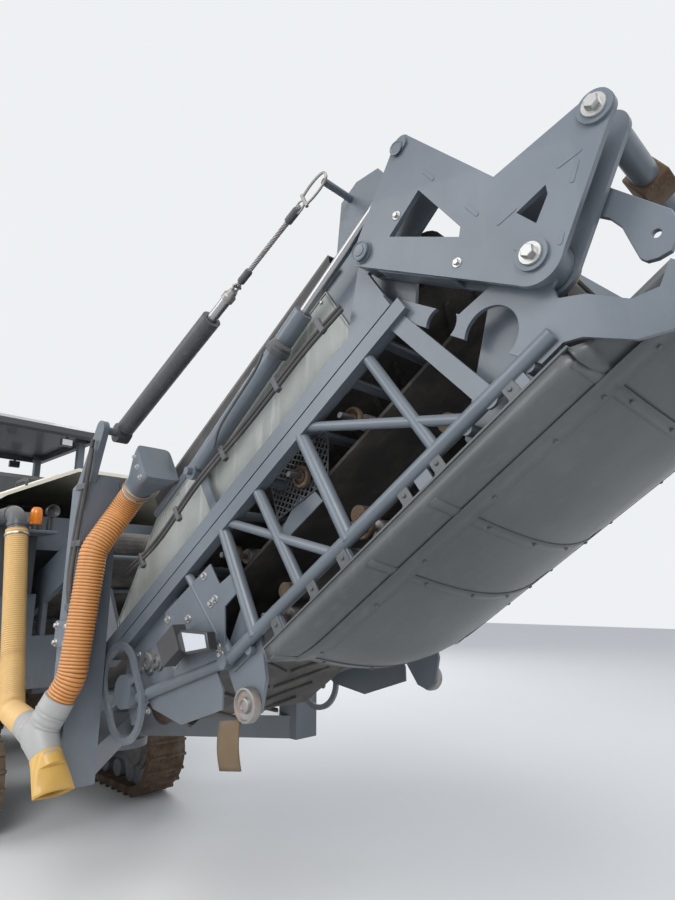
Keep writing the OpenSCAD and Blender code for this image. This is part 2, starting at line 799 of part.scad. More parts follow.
module lift_rods() {
    color(steel) on_strut() {
        along_strut(lift_barrel_l - lift_rod_in, lift_barrel_l + lift_fitting + 10, lift_rod_d);
        along_strut(lift_barrel_l + lift_fitting + 70, strut_l - 40, rope_d);
        box([lift_barrel_l + lift_fitting, -14, -30], [lift_barrel_l + lift_fitting + 80, 14, 30]);
        cross_bar([strut_l, 0], 70, -14, 14);
        cross_bar([strut_l, 0], 44, 10, 26);
        box([strut_l - 90, -14, -20], [strut_l - 20, 14, 20]);
    }
}

// Rear section of the conveyor

// Uprights between the side rail and the upper tube, and the idlers on them
idler_s = [-1690, -1180, -660];

module rear_side() {
    // Side rail and the tube over the tarpaulin
    box([rear_end_s, rail_inner_y, rail_n - rail_h / 2], [-45, rail_outer_y, rail_n + rail_h / 2]);
    bar([-1690, 205], [-150, 205], wall_y + 8, tube_over_d);
    // Uprights between the two
    for (s = concat(idler_s, [-190]))
        box([s - 20, wall_y - 12, rail_n], [s + 20, wall_y + 8, 205]);
    for (s = [-2700, -2180, -1690, -1180, -660, -190])
        cross_bar([s, rail_n], 40, 0, rail_inner_y + 10);
    // Side wall at the head with the rope's eye
    plate(wall_y, 16) polygon([[-420, -245], [-15, -245], [232, 60], [215, 375], [120, 435], [20, 435], [-160, 225], [-420, 205]]);
    cross_bar(rope_eye, 30, wall_y - 8, strut_y - 14 - face_gap);
    // Gusset and boss of the lever pivot
    plate(twin_y, 20) polygon([[-330, -230], [-48, -230], [-48, -30], [0, -48], [0, 48], [-60, 30]]);
    cross_bar(lever_eye, 96, twin_y - boss_half, twin_y + boss_half);
    // Boss of the lift pivot
    cross_bar(lift_eye, 130, rail_inner_y - 6, yoke_inner_y - face_gap);
    box([lift_eye[0] - 65, rail_inner_y, lift_eye[1] - 20], [lift_eye[0] + 65, rail_outer_y, rail_n]);
    // Bracket of the fold cylinder
    box([fold_base[0] - 25, rail_inner_y - 30, rail_n], [fold_base[0] + 25, rail_inner_y - 14, fold_base[1] + 40]);
    box([fold_base[0] - 25, rail_inner_y - 30, rail_n - 20], [fold_base[0] + 25, rail_inner_y + 5, rail_n + 20]);
    cross_bar(fold_base, 36, rail_inner_y - 30, rail_outer_y + 14);
}

module rear_frame() {
    color(paint) on_boom() pair() difference() {
        rear_side();
        cross_bar(lever_eye, pin_d + 2 * pin_gap, twin_y - boss_half - 1, twin_y + boss_half + 1);
        cross_bar(lift_eye, pin_d + 2 * pin_gap, rail_inner_y - 50, yoke_inner_y + 1);
    }
}

module rear_tarps() {
    color(canvas) on_boom() pair() plate(wall_y + 12 + face_gap, 8)
        polygon([[-2250, -150], [-2250, -60], [-1700, 178], [-250, 178], [-250, -150]]);
}

tube_over_d = 44;
belt_cover_y = wall_y + 8 - tube_over_d / 2 - face_gap;
belt_cover_t = 12;

module belt_cover_outline(inset) {
    foot = inset > 0 ? 184 : 185;
    polygon([[-belt_cover_y + inset, foot], [-belt_cover_y + inset, 330 - inset / 2], [-430, 400 - inset],
        [-260, 440 - inset], [0, 452 - inset], [260, 440 - inset], [430, 400 - inset],
        [belt_cover_y - inset, 330 - inset / 2], [belt_cover_y - inset, foot]]);
}

module belt_cover() {
    color(rubber) on_boom() difference() {
        along_x(-1700, -180) belt_cover_outline(0);
        along_x(-1701, -179) belt_cover_outline(belt_cover_t);
    }
}

rear_drum_r = 95;
rear_head_s = 110;
rear_tail_s = rear_end_s + 110;
rear_belt_n = -90;
belt_steps = 12;

module rear_belt() {
    color(rubber) on_boom() translate([(rear_head_s + rear_tail_s) / 2, 0, rear_belt_n + 40])
        plate(0, belt_w) difference() {
            polygon(loop_points(rear_head_s - rear_tail_s, rear_drum_r, belt_steps));
            polygon(loop_points(rear_head_s - rear_tail_s, rear_drum_r - belt_t, belt_steps));
        }
}

rear_idler_n = rear_belt_n + 40 + rear_drum_r - belt_t - face_gap - 40;

// Half length of a belt drum's axle: to the side wall at the head, to the
// hopper's wall at the tail
function rear_axle_y(s) = wall_y - (s > -1000 ? 8 : 20) - face_gap;

module rear_rollers() {
    color(steel) on_boom() {
        for (s = [rear_head_s, rear_tail_s])
            cross_bar([s, rear_belt_n + 40], 2 * inside_loop(rear_drum_r - belt_t, belt_steps),
                -belt_half, belt_half);
        for (s = [rear_head_s, rear_tail_s])
            cross_bar([s, rear_belt_n + 40], 50, -rear_axle_y(s), rear_axle_y(s));
        for (s = idler_s) {
            cross_bar([s, rear_idler_n], 80, -belt_half, belt_half);
            cross_bar([s, rear_idler_n], 30, -wall_y + 12 + face_gap, wall_y - 12 - face_gap);
        }
    }
}

module tail_hopper() {
    color(paint) on_boom() {
        pair() box([rear_end_s, wall_y - 20, rail_n + 25], [-2290, wall_y, 180]);
        for (s = [-2640, -2390])
            pair() box([s, wall_y - 5, rail_n - 20], [s + 70, rail_inner_y - face_gap, rail_n + 40]);
        box([rear_end_s, -wall_y, -30 + 40], [rear_end_s + 14, wall_y, 180]);
    }
}

hose_port_y = 620;
hose_port = [-1620, 300];

module suction_box() {
    color(paint) on_boom() plate(-(wall_y + 30 + face_gap + hose_port_y + 80) / 2,
        hose_port_y + 80 - wall_y - 30 - face_gap)
        polygon([[hose_port[0], 190], [hose_port[0], 400], [-1490, 400], [-1420, 300], [-1420, 190]]);
}

// Suction hoses: straight lengths joined by arcs

function unit(v) = v / norm(v);

// Length of hose that a bend of radius r takes from each side of corner i
function bend_cut(points, i, r) =
    i == 0 || i == len(points) - 1 ? 0 :
    let (u = unit(points[i] - points[i - 1]), v = unit(points[i + 1] - points[i]))
    r * tan(acos(u * v) / 2);

module hose_run(points, d, r) {
    for (i = [0 : len(points) - 2])
        let (u = unit(points[i + 1] - points[i]), from = points[i] + u * bend_cut(points, i, r),
            l = norm(points[i + 1] - from) - bend_cut(points, i + 1, r))
        translate(from) rotate([0, acos(u[2]), atan2(u[1], u[0])]) {
            cylinder(d = d, h = l);
            // Bands where the straight length meets a bend
            for (end = [[i, 0], [i + 1, l]])
                if (end[0] > 0 && end[0] < len(points) - 1)
                    translate([0, 0, end[1] - 12]) cylinder(d = d + 8, h = 24);
        }
    for (i = [1 : len(points) - 2])
        let (u = unit(points[i] - points[i - 1]), v = unit(points[i + 1] - points[i]),
            out = unit(u * (u * v) - v), side = cross(out, u),
            centre = points[i] - u * bend_cut(points, i, r) - r * out)
        multmatrix([[out[0], u[0], side[0], centre[0]], [out[1], u[1], side[1], centre[1]],
            [out[2], u[2], side[2], centre[2]], [0, 0, 0, 1]])
            rotate_extrude(angle = acos(u * v)) translate([r, 0]) circle(d = d);
}

hose_bend_r = 175;
port_dir = [cos(boom_slope), 0, sin(boom_slope)];
port_at = [lever_x, -hose_port_y, lever_z] + hose_port[0] * port_dir
    + hose_port[1] * [-port_dir[2], 0, port_dir[0]];
junction_at = [2250, -896, 893];
left_low = [1620, -802, 900];
right_low = [2347, -816, 1130];
hose_left_route = [[1190, -740, 1880], [1390, -745, 1130], left_low,
    junction_at + 150 * unit(left_low - junction_at)];
hose_right_route = [port_at - face_gap * port_dir, port_at - 120 * port_dir, [2341, -765, 1700], right_low,
    junction_at + 120 * unit(right_low - junction_at)];
elbow_r = 0.75 * hose_d;

module suction_pipe() {
    up = unit(hose_left_route[0] - hose_left_route[1]);
    top = hose_left_route[0] + face_gap * up;
    knee = top + 110 * up;
    color(dark_paint) hose_run([top, knee, [frame_front_x + 20 + face_gap, knee[1], knee[2]]],
        hose_d - 20, elbow_r);
}

module hose_left() {
    color(hose_tan) hose_run(hose_left_route, hose_d, hose_bend_r);
}

module hose_right() {
    color(hose_orange) hose_run(hose_right_route, hose_d, hose_bend_r);
}

// Y piece where the hoses meet, with its cut-off outlet
module hose_junction() {
    color(rubber) {
        hose_run([junction_at + (150 - face_gap) * unit(left_low - junction_at), junction_at], hose_d - 6, 1);
        hose_run([junction_at + (120 - face_gap) * unit(right_low - junction_at), junction_at], hose_d - 8, 1);
        translate(junction_at) sphere(d = hose_d + 10);
    }
    color(hose_tan) hose_run([junction_at, [2400, -872, 715]], hose_d - 20, 1);
}

// Fold cylinders and levers

fold_run = rod_eye - fold_base;
fold_l = norm(fold_run);
fold_angle = atan2(fold_run[1], fold_run[0]);
fold_barrel_l = 900;
fold_stroke = 190;

module on_fold() {
    on_boom() pair() translate([fold_base[0], twin_y, fold_base[1]]) rotate([0, -fold_angle, 0]) children();
}

module fold_barrels() {
    color(dark_paint) on_fold() difference() {
        union() {
            along_strut(50, fold_barrel_l, fold_barrel_d);
            box([0, -20, -22], [60, 20, 22]);
            cross_bar([0, 0], 76, -24, 24);
        }
        along_strut(fold_barrel_l - 300, fold_barrel_l + 1, fold_rod_d + 2 * pin_gap);
        cross_bar([0, 0], 36 + 2 * pin_gap, -25, 25);
    }
}

module fold_rods() {
    // The eye fills the gap between the twin plates
    eye_half = (lever_gap - lever_t) / 2 - face_gap;
    color(steel) on_fold() {
        along_strut(fold_barrel_l - 80, fold_l - 20, fold_rod_d);
        cross_bar([fold_l, 0], 66, -eye_half, eye_half);
    }
}

notch = [425, -285];

module lever_profile() {
    difference() {
        union() {
            link(lever_eye, eye_r, rod_eye, 35);
            link(lever_eye, eye_r, fold_eye, 88);
            link(rod_eye, 35, notch, 25);
            link(notch, 25, torsion_eye, eye_r);
            link(torsion_eye, eye_r, fold_eye, 88);
            polygon([lever_eye, rod_eye, notch, torsion_eye, fold_eye]);
        }
        // Lightening windows
        polygon([[105, -60], [275, -35], [285, -290], [262, -312]]);
        polygon([[415, -425], [515, -440], [500, -468], [428, -505]]);
    }
}

module lever() {
    for (y = [inner_plate_y, outer_plate_y])
        plate(y, lever_t) lever_profile();
    // Slotted web between the twin plates
    plate(twin_y, lever_gap - lever_t + 4) link([4, -104], 6, [158, -372], 6);
    // Pins and washers
    for (eye = [lever_eye, fold_eye])
        cross_bar(eye, pin_d, inner_plate_y - lever_t / 2, outer_plate_y + lever_t / 2 + 12);
    cross_bar(rod_eye, 50, outer_plate_y, outer_plate_y + lever_t / 2 + 8);
    cross_bar(rod_eye, 50, inner_plate_y - lever_t / 2 - 8, inner_plate_y);
    cross_bar(lever_eye, 84, outer_plate_y, outer_plate_y + lever_t / 2 + 6);
    for (eye = [fold_eye, torsion_eye])
        cross_bar(eye, 96, outer_plate_y, outer_plate_y + lever_t / 2 + 10);
}

module fold_levers() {
    color(paint) on_boom() {
        pair() lever();
        cross_bar(torsion_eye, 80, -inner_plate_y, inner_plate_y);
    }
}

// Front section, folded under the rear one

chord_n = -274;
chord_h = 56;
tube_d = 50;
tube_low = [-2086, -546];
tube_bend = [-1433, -745];
tube_high = [252, -760];

head_plate_y = rail_y - 33;
axle_plate_y = 488;

module truss_side() {
    // Box chord and round chord
    box([-2103, rail_inner_y, chord_n - chord_h / 2], [-10, rail_outer_y, chord_n + chord_h / 2]);
    bar(tube_low, tube_bend, rail_y, tube_d);
    bar(tube_bend, tube_high, rail_y, tube_d);
    cross_bar(tube_bend, tube_d + 8, rail_y - tube_d / 2 - 2, rail_y + tube_d / 2 + 2);
    // Web members, each from the box chord to the round chord: s at the top,
    // n at the top, s and n at the foot, diameter
    for (web = [[-231, -290, -213, -760, 42], [-578, -290, -74, -760, 36], [-628, -290, -650, -760, 54],
        [-937, -290, -929, -760, 46], [-1145, -290, -724, -760, 36], [-1194, -290, -1230, -760, 54],
        [-1500, -290, -1400, -740, 40]])
        bar([web[0], web[1]], [web[2], web[3]], rail_y, web[4]);
    // Flat bar under the lever
    plate(rail_y, 14) link([-68, -300], 32, [9, -760], 32);
    // Arched end plate with the fold pivot
    plate(twin_y, 16) {
        difference() {
            polygon([[-80, -245], [-10, -245], [100, -470], [300, -500], [340, -640], [290, -800], [180, -800]]);
            translate([40, -440]) circle(58);
            translate([130, -610]) circle(90);
        }
        link([300, -600], 60, fold_eye, 70);
        // Gooseneck
        polygon([[273, -640], [380, -745], [440, -850], [500, -880], [560, -845],
            [575, -890], [540, -960], [449, -985], [380, -940], [300, -830], [241, -790]]);
    }
    cross_bar(fold_eye, 150, twin_y - boss_half, twin_y + boss_half);
}

module front_truss() {
    color(paint) on_boom() {
        pair() difference() {
            truss_side();
            cross_bar(fold_eye, pin_d + 2 * pin_gap, twin_y - boss_half - 1, twin_y + boss_half + 1);
        }
        for (s = [-1960, -1500, -900, -350])
            cross_bar([s, chord_n], 40, -rail_inner_y - 5, rail_inner_y + 5);
        for (s = [-1300, -700, -100, 150])
            cross_bar([s, -775], 40, -rail_y, rail_y);
        // Plates that hold the tail drum's axle
        pair() plate(axle_plate_y, 14) polygon([[-150, -800], [210, -800], [300, -590], [300, -480],
            [235, -445], [170, -470], [-150, -750]]);
        // Tabs that the dust hood hangs on
        pair() for (s = [-1100, -700, -300, 100])
            box([s - 30, rail_y - 8, hood_flange_n + face_gap], [s + 30, rail_y + 8, -765]);
        // Wheel brackets
        pair() plate(rail_y - 26 - 8, 16)
            polygon([[-1285, -600], [-1235, -760], [-1290, -900], [-1380, -985], [-1440, -985],
                [-1475, -940], [-1480, -740], [-1443, -690]]);
        pair() plate(rail_y - 26, 10) polygon([[-1440, -740], [-1300, -740], [-1300, -790], [-1440, -790]]);
        // Plate under the round chord at the head
        pair() plate(rail_y - 8, 8) polygon([[-2050, -560], [-1516, -722], [-1516, -820], [-1555, -880],
            [-1842, -797], [-2013, -640]]);
        // Plates round the head drum's axle
        pair() plate(head_plate_y, 16) polygon([[-2250, -420], [-2103, -260], [-1700, -260], [-1560, -420],
            [-1650, -640], [-2080, -570], [-2250, -600]]);
    }
}

hood_low_s = -1190;
hood_mid_s = 260;
hood_high_s = 560;
hood_flange_n = -830;

// Underside of the dust hood from its knee to its middle, as [y, n]
hood_belly = [[470, -918], [320, -968], [150, -998], [0, -1007]];

// Section of the dust hood, open to the belt, half as wide as top
module dust_hood_section(top, inset) {
    n0 = inset > 0 ? hood_flange_n + 1 : hood_flange_n - 5;
    right = concat([[top - 1.4 * inset, n0]],
        [for (p = hood_belly) [p[0] * (1 - 1.2 * inset / top), p[1] + inset]]);
    polygon(concat(right, [for (i = [len(right) - 2 : -1 : 0]) [-right[i][0], right[i][1]]]));
}

module dust_hood() {
    color(dark_paint) on_boom() {
        pair() box([hood_low_s, 556, hood_flange_n - 8], [hood_mid_s - 8, 599, hood_flange_n]);
        for (part = [[hood_low_s, hood_mid_s + 4, 600, dust_hood_t], [hood_mid_s - 4, hood_mid_s + 4, 600, 60],
            [hood_mid_s, hood_high_s, 556, dust_hood_t]])
            along_x(part[0], part[1]) difference() {
                dust_hood_section(part[2], 0);
                dust_hood_section(part[2], part[3]);
            }
    }
}

front_drum_r = 140;
front_head_s = -2120;
front_tail_s = 235;
front_belt_n = -525;

module front_belt() {
    color(rubber) on_boom() translate([(front_head_s + front_tail_s) / 2, 0, front_belt_n])
        plate(0, belt_w) difference() {
            polygon(loop_points(front_tail_s - front_head_s, front_drum_r, belt_steps));
            polygon(loop_points(front_tail_s - front_head_s, front_drum_r - belt_t, belt_steps));
        }
}

module front_rollers() {
    color(steel) on_boom() {
        for (s = [front_head_s, front_tail_s])
            cross_bar([s, front_belt_n], 2 * inside_loop(front_drum_r - belt_t, belt_steps),
                -belt_half, belt_half);
        cross_bar([front_head_s, front_belt_n], 60, -head_plate_y + 8 + face_gap, head_plate_y - 8 - face_gap);
        cross_bar([front_tail_s, front_belt_n], 60, -axle_plate_y + 7 + face_gap, axle_plate_y - 7 - face_gap);
        for (i = [0 : 3])
            cross_bar([-1630 + i * 480, front_belt_n - front_drum_r + belt_t + face_gap + 35], 70,
                -belt_half, belt_half);
    }
}

// Oval guard rings round the ends of the head drum
module head_guards() {
    color(paint) on_boom() pair() {
        plate(rail_outer_y + 9, 18) difference() {
            link([-2165, -410], 165, [-2165, -540], 165);
            link([-2165, -410], 135, [-2165, -540], 135);
        }
        cross_bar([-2165, -475], 150, rail_y - 25 + face_gap, rail_outer_y + 10);
        plate(rail_outer_y + 4, 8) translate([-2310, -487]) square([290, 24]);
    }
}

wheel_at = [-1410, -937];

module support_wheels() {
    color(steel) on_boom() pair() cross_bar(wheel_at, 130, rail_y - 26 + face_gap, rail_y + 14);
}

module work_lamp() {
    color(dark_paint) on_boom() mirror([0, 1, 0]) {
        box([-1700, rail_outer_y + 20, -610], [-1560, rail_outer_y + 80, -500]);
        box([-1640, head_plate_y + 8 + face_gap, -560], [-1600, rail_outer_y + 22, -540]);
    }
}

main_frame();
drum_housing();
water_tank();
conveyor_cover();
front_pods();
primary_conveyor();
primary_belt();
platform();
console();
seats();
handrails();
canopy_posts();
canopy_roof();
lamps();
ladders();
engine_block();
engine_bay();
rear_grille();
engine_hood();
exhaust();
leg_front_left();
leg_front_right();
leg_rear_left();
leg_rear_right();
track_front_left();
track_front_right();
track_rear_left();
track_rear_right();
milling_drum();
side_plate_left();
side_plate_right();
scraper();
slew_yoke();
lift_barrels();
lift_rods();
rear_frame();
rear_tarps();
belt_cover();
rear_belt();
rear_rollers();
tail_hopper();
suction_box();
suction_pipe();
hose_left();
hose_right();
hose_junction();
fold_barrels();
fold_rods();
fold_levers();
front_truss();
dust_hood();
front_belt();
front_rollers();
head_guards();
support_wheels();
work_lamp();
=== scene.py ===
"""Looks of the cold planer milling machine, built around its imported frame.

Every length is in metres, in the frame's own axes: +X to the front, +Y to the
left, +Z up.  Boom axes are s, up along the conveyor from the fold levers'
pivot, and n, square to it.
"""

import logging
from dataclasses import dataclass, field
from enum import Enum
from itertools import product
from math import atan2, copysign, cos, exp, pi, radians, sin, tan
from typing import Dict, Iterable, List, Optional, Sequence, Tuple, Union

import bmesh
import bpy
from bpy.types import Material, Mesh, Object
from mathutils import Matrix, Vector


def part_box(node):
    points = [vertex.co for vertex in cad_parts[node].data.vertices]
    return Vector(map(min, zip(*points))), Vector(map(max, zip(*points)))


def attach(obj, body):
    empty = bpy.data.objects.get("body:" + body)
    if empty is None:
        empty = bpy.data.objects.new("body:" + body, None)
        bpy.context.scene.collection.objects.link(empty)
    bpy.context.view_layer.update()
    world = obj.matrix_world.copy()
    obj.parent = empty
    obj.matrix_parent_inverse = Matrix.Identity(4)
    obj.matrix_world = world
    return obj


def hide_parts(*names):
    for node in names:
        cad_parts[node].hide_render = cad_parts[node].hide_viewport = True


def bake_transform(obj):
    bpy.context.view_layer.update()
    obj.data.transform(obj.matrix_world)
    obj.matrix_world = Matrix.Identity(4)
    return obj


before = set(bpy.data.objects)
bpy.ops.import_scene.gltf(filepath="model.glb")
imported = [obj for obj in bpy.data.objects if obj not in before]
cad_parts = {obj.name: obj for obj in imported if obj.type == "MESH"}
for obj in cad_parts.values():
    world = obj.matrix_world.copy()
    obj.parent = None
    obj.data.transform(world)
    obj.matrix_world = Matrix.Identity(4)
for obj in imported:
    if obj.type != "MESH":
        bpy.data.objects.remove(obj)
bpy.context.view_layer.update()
LOG = logging.getLogger("planer")
FRONT, REAR = "front_conveyor", "rear_conveyor"

Colour = Tuple[float, float, float]
Point = Tuple[float, float, float]
Pair = Tuple[float, float]
Pairs = Tuple[Pair, ...]
Points = Sequence[Sequence[float]]


def shown(name: str, data: bpy.types.ID) -> Object:
    """An object of data, linked to the scene."""
    made = bpy.data.objects.new(name, data)
    bpy.context.scene.collection.objects.link(made)
    return made


# ---- shaders

class Wire:
    """One output socket of a node tree; arithmetic on it adds Math nodes."""

    def __init__(self, tree: "Graph", socket: bpy.types.NodeSocket) -> None:
        """Keep the tree and the socket."""
        self.tree = tree
        self.socket = socket

    def __add__(self, other: "Value") -> "Wire":
        """Sum."""
        return self.tree.math("ADD", self, other)

    def __radd__(self, other: "Value") -> "Wire":
        """Sum, reflected."""
        return self.tree.math("ADD", other, self)

    def __sub__(self, other: "Value") -> "Wire":
        """Difference."""
        return self.tree.math("SUBTRACT", self, other)

    def __rsub__(self, other: "Value") -> "Wire":
        """Difference, reflected, so that 1 - mask works."""
        return self.tree.math("SUBTRACT", other, self)

    def __mul__(self, other: "Value") -> "Wire":
        """Product."""
        return self.tree.math("MULTIPLY", self, other)

    def __rmul__(self, other: "Value") -> "Wire":
        """Product, reflected."""
        return self.tree.math("MULTIPLY", other, self)

    def __truediv__(self, other: "Value") -> "Wire":
        """Quotient."""
        return self.tree.math("DIVIDE", self, other)

    def __pow__(self, other: "Value") -> "Wire":
        """Power."""
        return self.tree.math("POWER", self, other)

    def clamp(self) -> "Wire":
        """The value held between 0 and 1."""
        return self.tree.node("ShaderNodeClamp", {}, {"Value": self})

    def step(self, low: float, high: float) -> "Wire":
        """A smooth step from 0 at low to 1 at high."""
        return self.tree.node("ShaderNodeMapRange", {"interpolation_type": "SMOOTHSTEP"},
                              {"Value": self, "From Min": low, "From Max": high})


Value = Union[Wire, float, Sequence[float]]


class Graph:
    """A node tree with one short way to add a node."""

    def __init__(self, tree: bpy.types.NodeTree) -> None:
        """Start from an empty tree."""
        self.tree = tree
        self.nodes = tree.nodes
        self.links = tree.links
        self.nodes.clear()

    def node(self, kind: str, settings: Dict[str, object], sockets: Dict[Union[str, int], Value],
             out: Union[str, int] = 0) -> Wire:
        """Add a node.

        Args:
            kind: The node's type name.
            settings: Its own settings, such as an operation, set first.
            sockets: Values or wires for its inputs, by name or number.
            out: The output that is returned.

        Returns:
            A wire from the chosen output, or from the first input of a node that ends the tree.
        """
        made = self.nodes.new(kind)
        for key, value in settings.items():
            setattr(made, key, value)
        for key, value in sockets.items():
            socket = made.inputs[key]
            if isinstance(value, Wire):
                self.links.new(value.socket, socket)
            else:
                socket.default_value = value
        return Wire(self, made.outputs[out] if made.outputs else made.inputs[0])

    def math(self, operation: str, a: Value, b: Value = 0.0) -> Wire:
        """A Math node on two values."""
        return self.node("ShaderNodeMath", {"operation": operation}, {0: a, 1: b})


class Tree(Graph):
    """A material's node tree."""

    def __init__(self, name: str) -> None:
        """Start an empty material called name."""
        self.material = bpy.data.materials.new(name)
        self.material.use_nodes = True
        super().__init__(self.material.node_tree)

    def mix(self, factor: Value, a: Union[Wire, Colour], b: Union[Wire, Colour]) -> Wire:
        """A colour from a to b by factor."""
        a = a if isinstance(a, Wire) else (*a, 1.0)
        b = b if isinstance(b, Wire) else (*b, 1.0)
        return self.node("ShaderNodeMix", {"data_type": "RGBA"}, {0: factor, 6: a, 7: b}, out=2)

    def place(self, scale: Sequence[float] = (1, 1, 1), turn: Sequence[float] = (0, 0, 0)) -> Wire:
        """Object coordinates, turned and scaled."""
        at = self.node("ShaderNodeTexCoord", {}, {}, out="Object")
        return self.node("ShaderNodeMapping", {}, {"Vector": at, "Scale": scale, "Rotation": turn})

    def noise(self, size: float, detail: float = 3.0, rough: float = 0.55,
              at: Optional[Wire] = None) -> Wire:
        """Noise from 0 to 1 whose patches are about size metres wide."""
        return self.node("ShaderNodeTexNoise", {}, {"Vector": at or self.place(), "Scale": 1.0 / size,
                                                    "Detail": detail, "Roughness": rough})

    def facing_up(self) -> Wire:
        """1 where the surface looks up, 0 where it is upright or looks down."""
        normal = self.node("ShaderNodeNewGeometry", {}, {}, out="Normal")
        up = self.node("ShaderNodeSeparateXYZ", {}, {0: normal}, out=2)
        return up.step(0.15, 0.95)

    def height(self) -> Wire:
        """Height over the ground in metres."""
        at = self.node("ShaderNodeTexCoord", {}, {}, out="Object")
        return self.node("ShaderNodeSeparateXYZ", {}, {0: at}, out=2)

    def bump(self, height: Value, depth: float, strength: float = 1.0) -> Wire:
        """A normal from a height map of the given depth in metres."""
        return self.node("ShaderNodeBump", {}, {"Height": height, "Distance": depth,
                                                "Strength": strength})

    def surface(self, colour: Union[Wire, Colour], rough: Value, metal: Value = 0.0,
                normal: Optional[Wire] = None, coat: float = 0.0,
                plain: Optional[Dict[str, float]] = None) -> Material:
        """Close the tree with a principled surface.

        Args:
            colour: Base colour.
            rough: Roughness.
            metal: Metallic.
            normal: A normal, or none.
            coat: Clear coat weight.
            plain: Other sockets that keep one value.

        Returns:
            The finished material.
        """
        sockets: Dict[Union[str, int], Value] = {
            "Base Color": colour if isinstance(colour, Wire) else (*colour, 1.0),
            "Roughness": rough, "Metallic": metal, "Coat Weight": coat}
        sockets.update(plain or {})
        if normal:
            sockets["Normal"] = normal
        shader = self.node("ShaderNodeBsdfPrincipled", {}, sockets)
        self.node("ShaderNodeOutputMaterial", {}, {"Surface": shader})
        return self.material


DUST: Colour = (0.5, 0.46, 0.4)


@dataclass(frozen=True)
class Enamel:
    """Machine enamel with road dust on what faces up and near the ground."""

    name: str
    colour: Colour
    rough: float = 0.42
    dust: float = 0.35
    coat: float = 0.1

    def build(self) -> Material:
        """The material: enamel with faded patches and dust."""
        t = Tree(self.name)
        patches = t.noise(0.55, 4.0).step(0.3, 0.75)
        fine = t.noise(0.012, 3.0)
        streaks = t.noise(0.05, 4.0, 0.6, t.place((1.0, 1.0, 0.12))).step(0.5, 0.8)
        low = 1 - t.height().step(0.4, 1.6)
        faded = tuple(min(1.0, c * 1.1 + 0.012) for c in self.colour)
        worn = tuple(c * 0.86 for c in self.colour)
        colour = t.mix(patches, worn, faded)
        settled = (t.facing_up() * 0.75 + low * 0.55 + streaks * 0.25) * self.dust
        mask = (settled * (0.45 + fine * 0.9)).clamp()
        colour = t.mix(mask, colour, DUST)
        rough = (self.rough + mask * 0.35 + (fine - 0.5) * 0.1).clamp()
        return t.surface(colour, rough, 0.0, t.bump(t.noise(0.004, 2.0), 0.0006, 0.35), self.coat)


@dataclass(frozen=True)
class Steel:
    """Bare or plated steel with fine turning marks and some rust."""

    name: str
    colour: Colour = (0.62, 0.61, 0.59)
    rough: float = 0.32
    rust: float = 0.2

    def build(self) -> Material:
        """The material: metal with brown patches that are rough and not metallic."""
        t = Tree(self.name)
        patch = t.noise(0.06, 5.0, 0.65).step(0.72 - self.rust * 0.45, 0.8)
        grain = t.noise(0.003, 2.0)
        brown = t.mix(t.noise(0.02, 4.0), (0.19, 0.1, 0.055), (0.34, 0.21, 0.13))
        colour = t.mix(patch, t.mix(grain, tuple(c * 0.85 for c in self.colour), self.colour), brown)
        rough = (self.rough + grain * 0.12 + patch * 0.4).clamp()
        return t.surface(colour, rough, 1 - patch, t.bump(grain, 0.0004, 0.3))


@dataclass(frozen=True)
class Rubber:
    """Dusty rubber or plastic."""

    name: str
    colour: Colour = (0.035, 0.034, 0.035)
    rough: float = 0.62
    dust: float = 0.45
    grain: float = 0.006

    def build(self) -> Material:
        """The material: dark rubber with dust in its low places."""
        t = Tree(self.name)
        fine = t.noise(self.grain, 4.0)
        patch = t.noise(0.18, 4.0).step(0.35, 0.8)
        mask = ((patch * 0.6 + t.facing_up() * 0.4) * fine * 1.4 * self.dust).clamp()
        colour = t.mix(mask, self.colour, (0.3, 0.27, 0.23))
        return t.surface(colour, (self.rough + mask * 0.3).clamp(), 0.0, t.bump(fine, 0.0012, 0.5))


@dataclass(frozen=True)
class Canvas:
    """Coated tarpaulin: a fine weave, folds and dirt."""

    name: str
    colour: Colour = (0.33, 0.35, 0.33)

    def build(self) -> Material:
        """The material: woven cloth with grey-green coating."""
        t = Tree(self.name)
        turn = (0.0, radians(BOOM.slope), 0.0)
        warp, weft = (t.node("ShaderNodeTexWave", {"bands_direction": way},
                             {"Vector": t.place(turn=turn), "Scale": 330.0, "Distortion": 0.4})
                      for way in ("X", "Z"))
        weave = warp * weft
        dirt = t.noise(0.22, 5.0, 0.62).step(0.42, 0.78)
        streak = t.noise(0.04, 4.0, 0.6, t.place((1.0, 1.0, 0.1))).step(0.5, 0.8)
        colour = t.mix(dirt, self.colour, tuple(c * 0.8 for c in self.colour))
        colour = t.mix(streak * 0.5, colour, (0.66, 0.67, 0.63))
        crease = t.noise(0.16, 3.0, 0.5)
        height = weave * 0.15 + crease
        return t.surface(colour, 0.62, 0.0, t.bump(height, 0.006, 0.5), 0.0,
                         {"Sheen Weight": 0.15, "Sheen Roughness": 0.5})


@dataclass(frozen=True)
class RustySteel:
    """Track shoes and picks: rust, packed earth and rubbed bright edges."""

    name: str
    rust: Colour = (0.095, 0.055, 0.032)
    earth: Colour = (0.15, 0.118, 0.082)

    def build(self) -> Material:
        """The material: rust with earth in patches."""
        t = Tree(self.name)
        coarse = t.noise(0.1, 5.0, 0.65)
        fine = t.noise(0.01, 4.0, 0.6)
        colour = t.mix(coarse.step(0.35, 0.7), self.rust, self.earth)
        colour = t.mix(fine.step(0.55, 0.8) * 0.55, colour, (0.42, 0.35, 0.26))
        rubbed = t.noise(0.05, 4.0, 0.6).step(0.66, 0.72)
        colour = t.mix(rubbed * 0.5, colour, (0.34, 0.32, 0.3))
        return t.surface(colour, (0.72 + fine * 0.25).clamp(), 0.2, t.bump(fine + coarse, 0.004, 0.6))


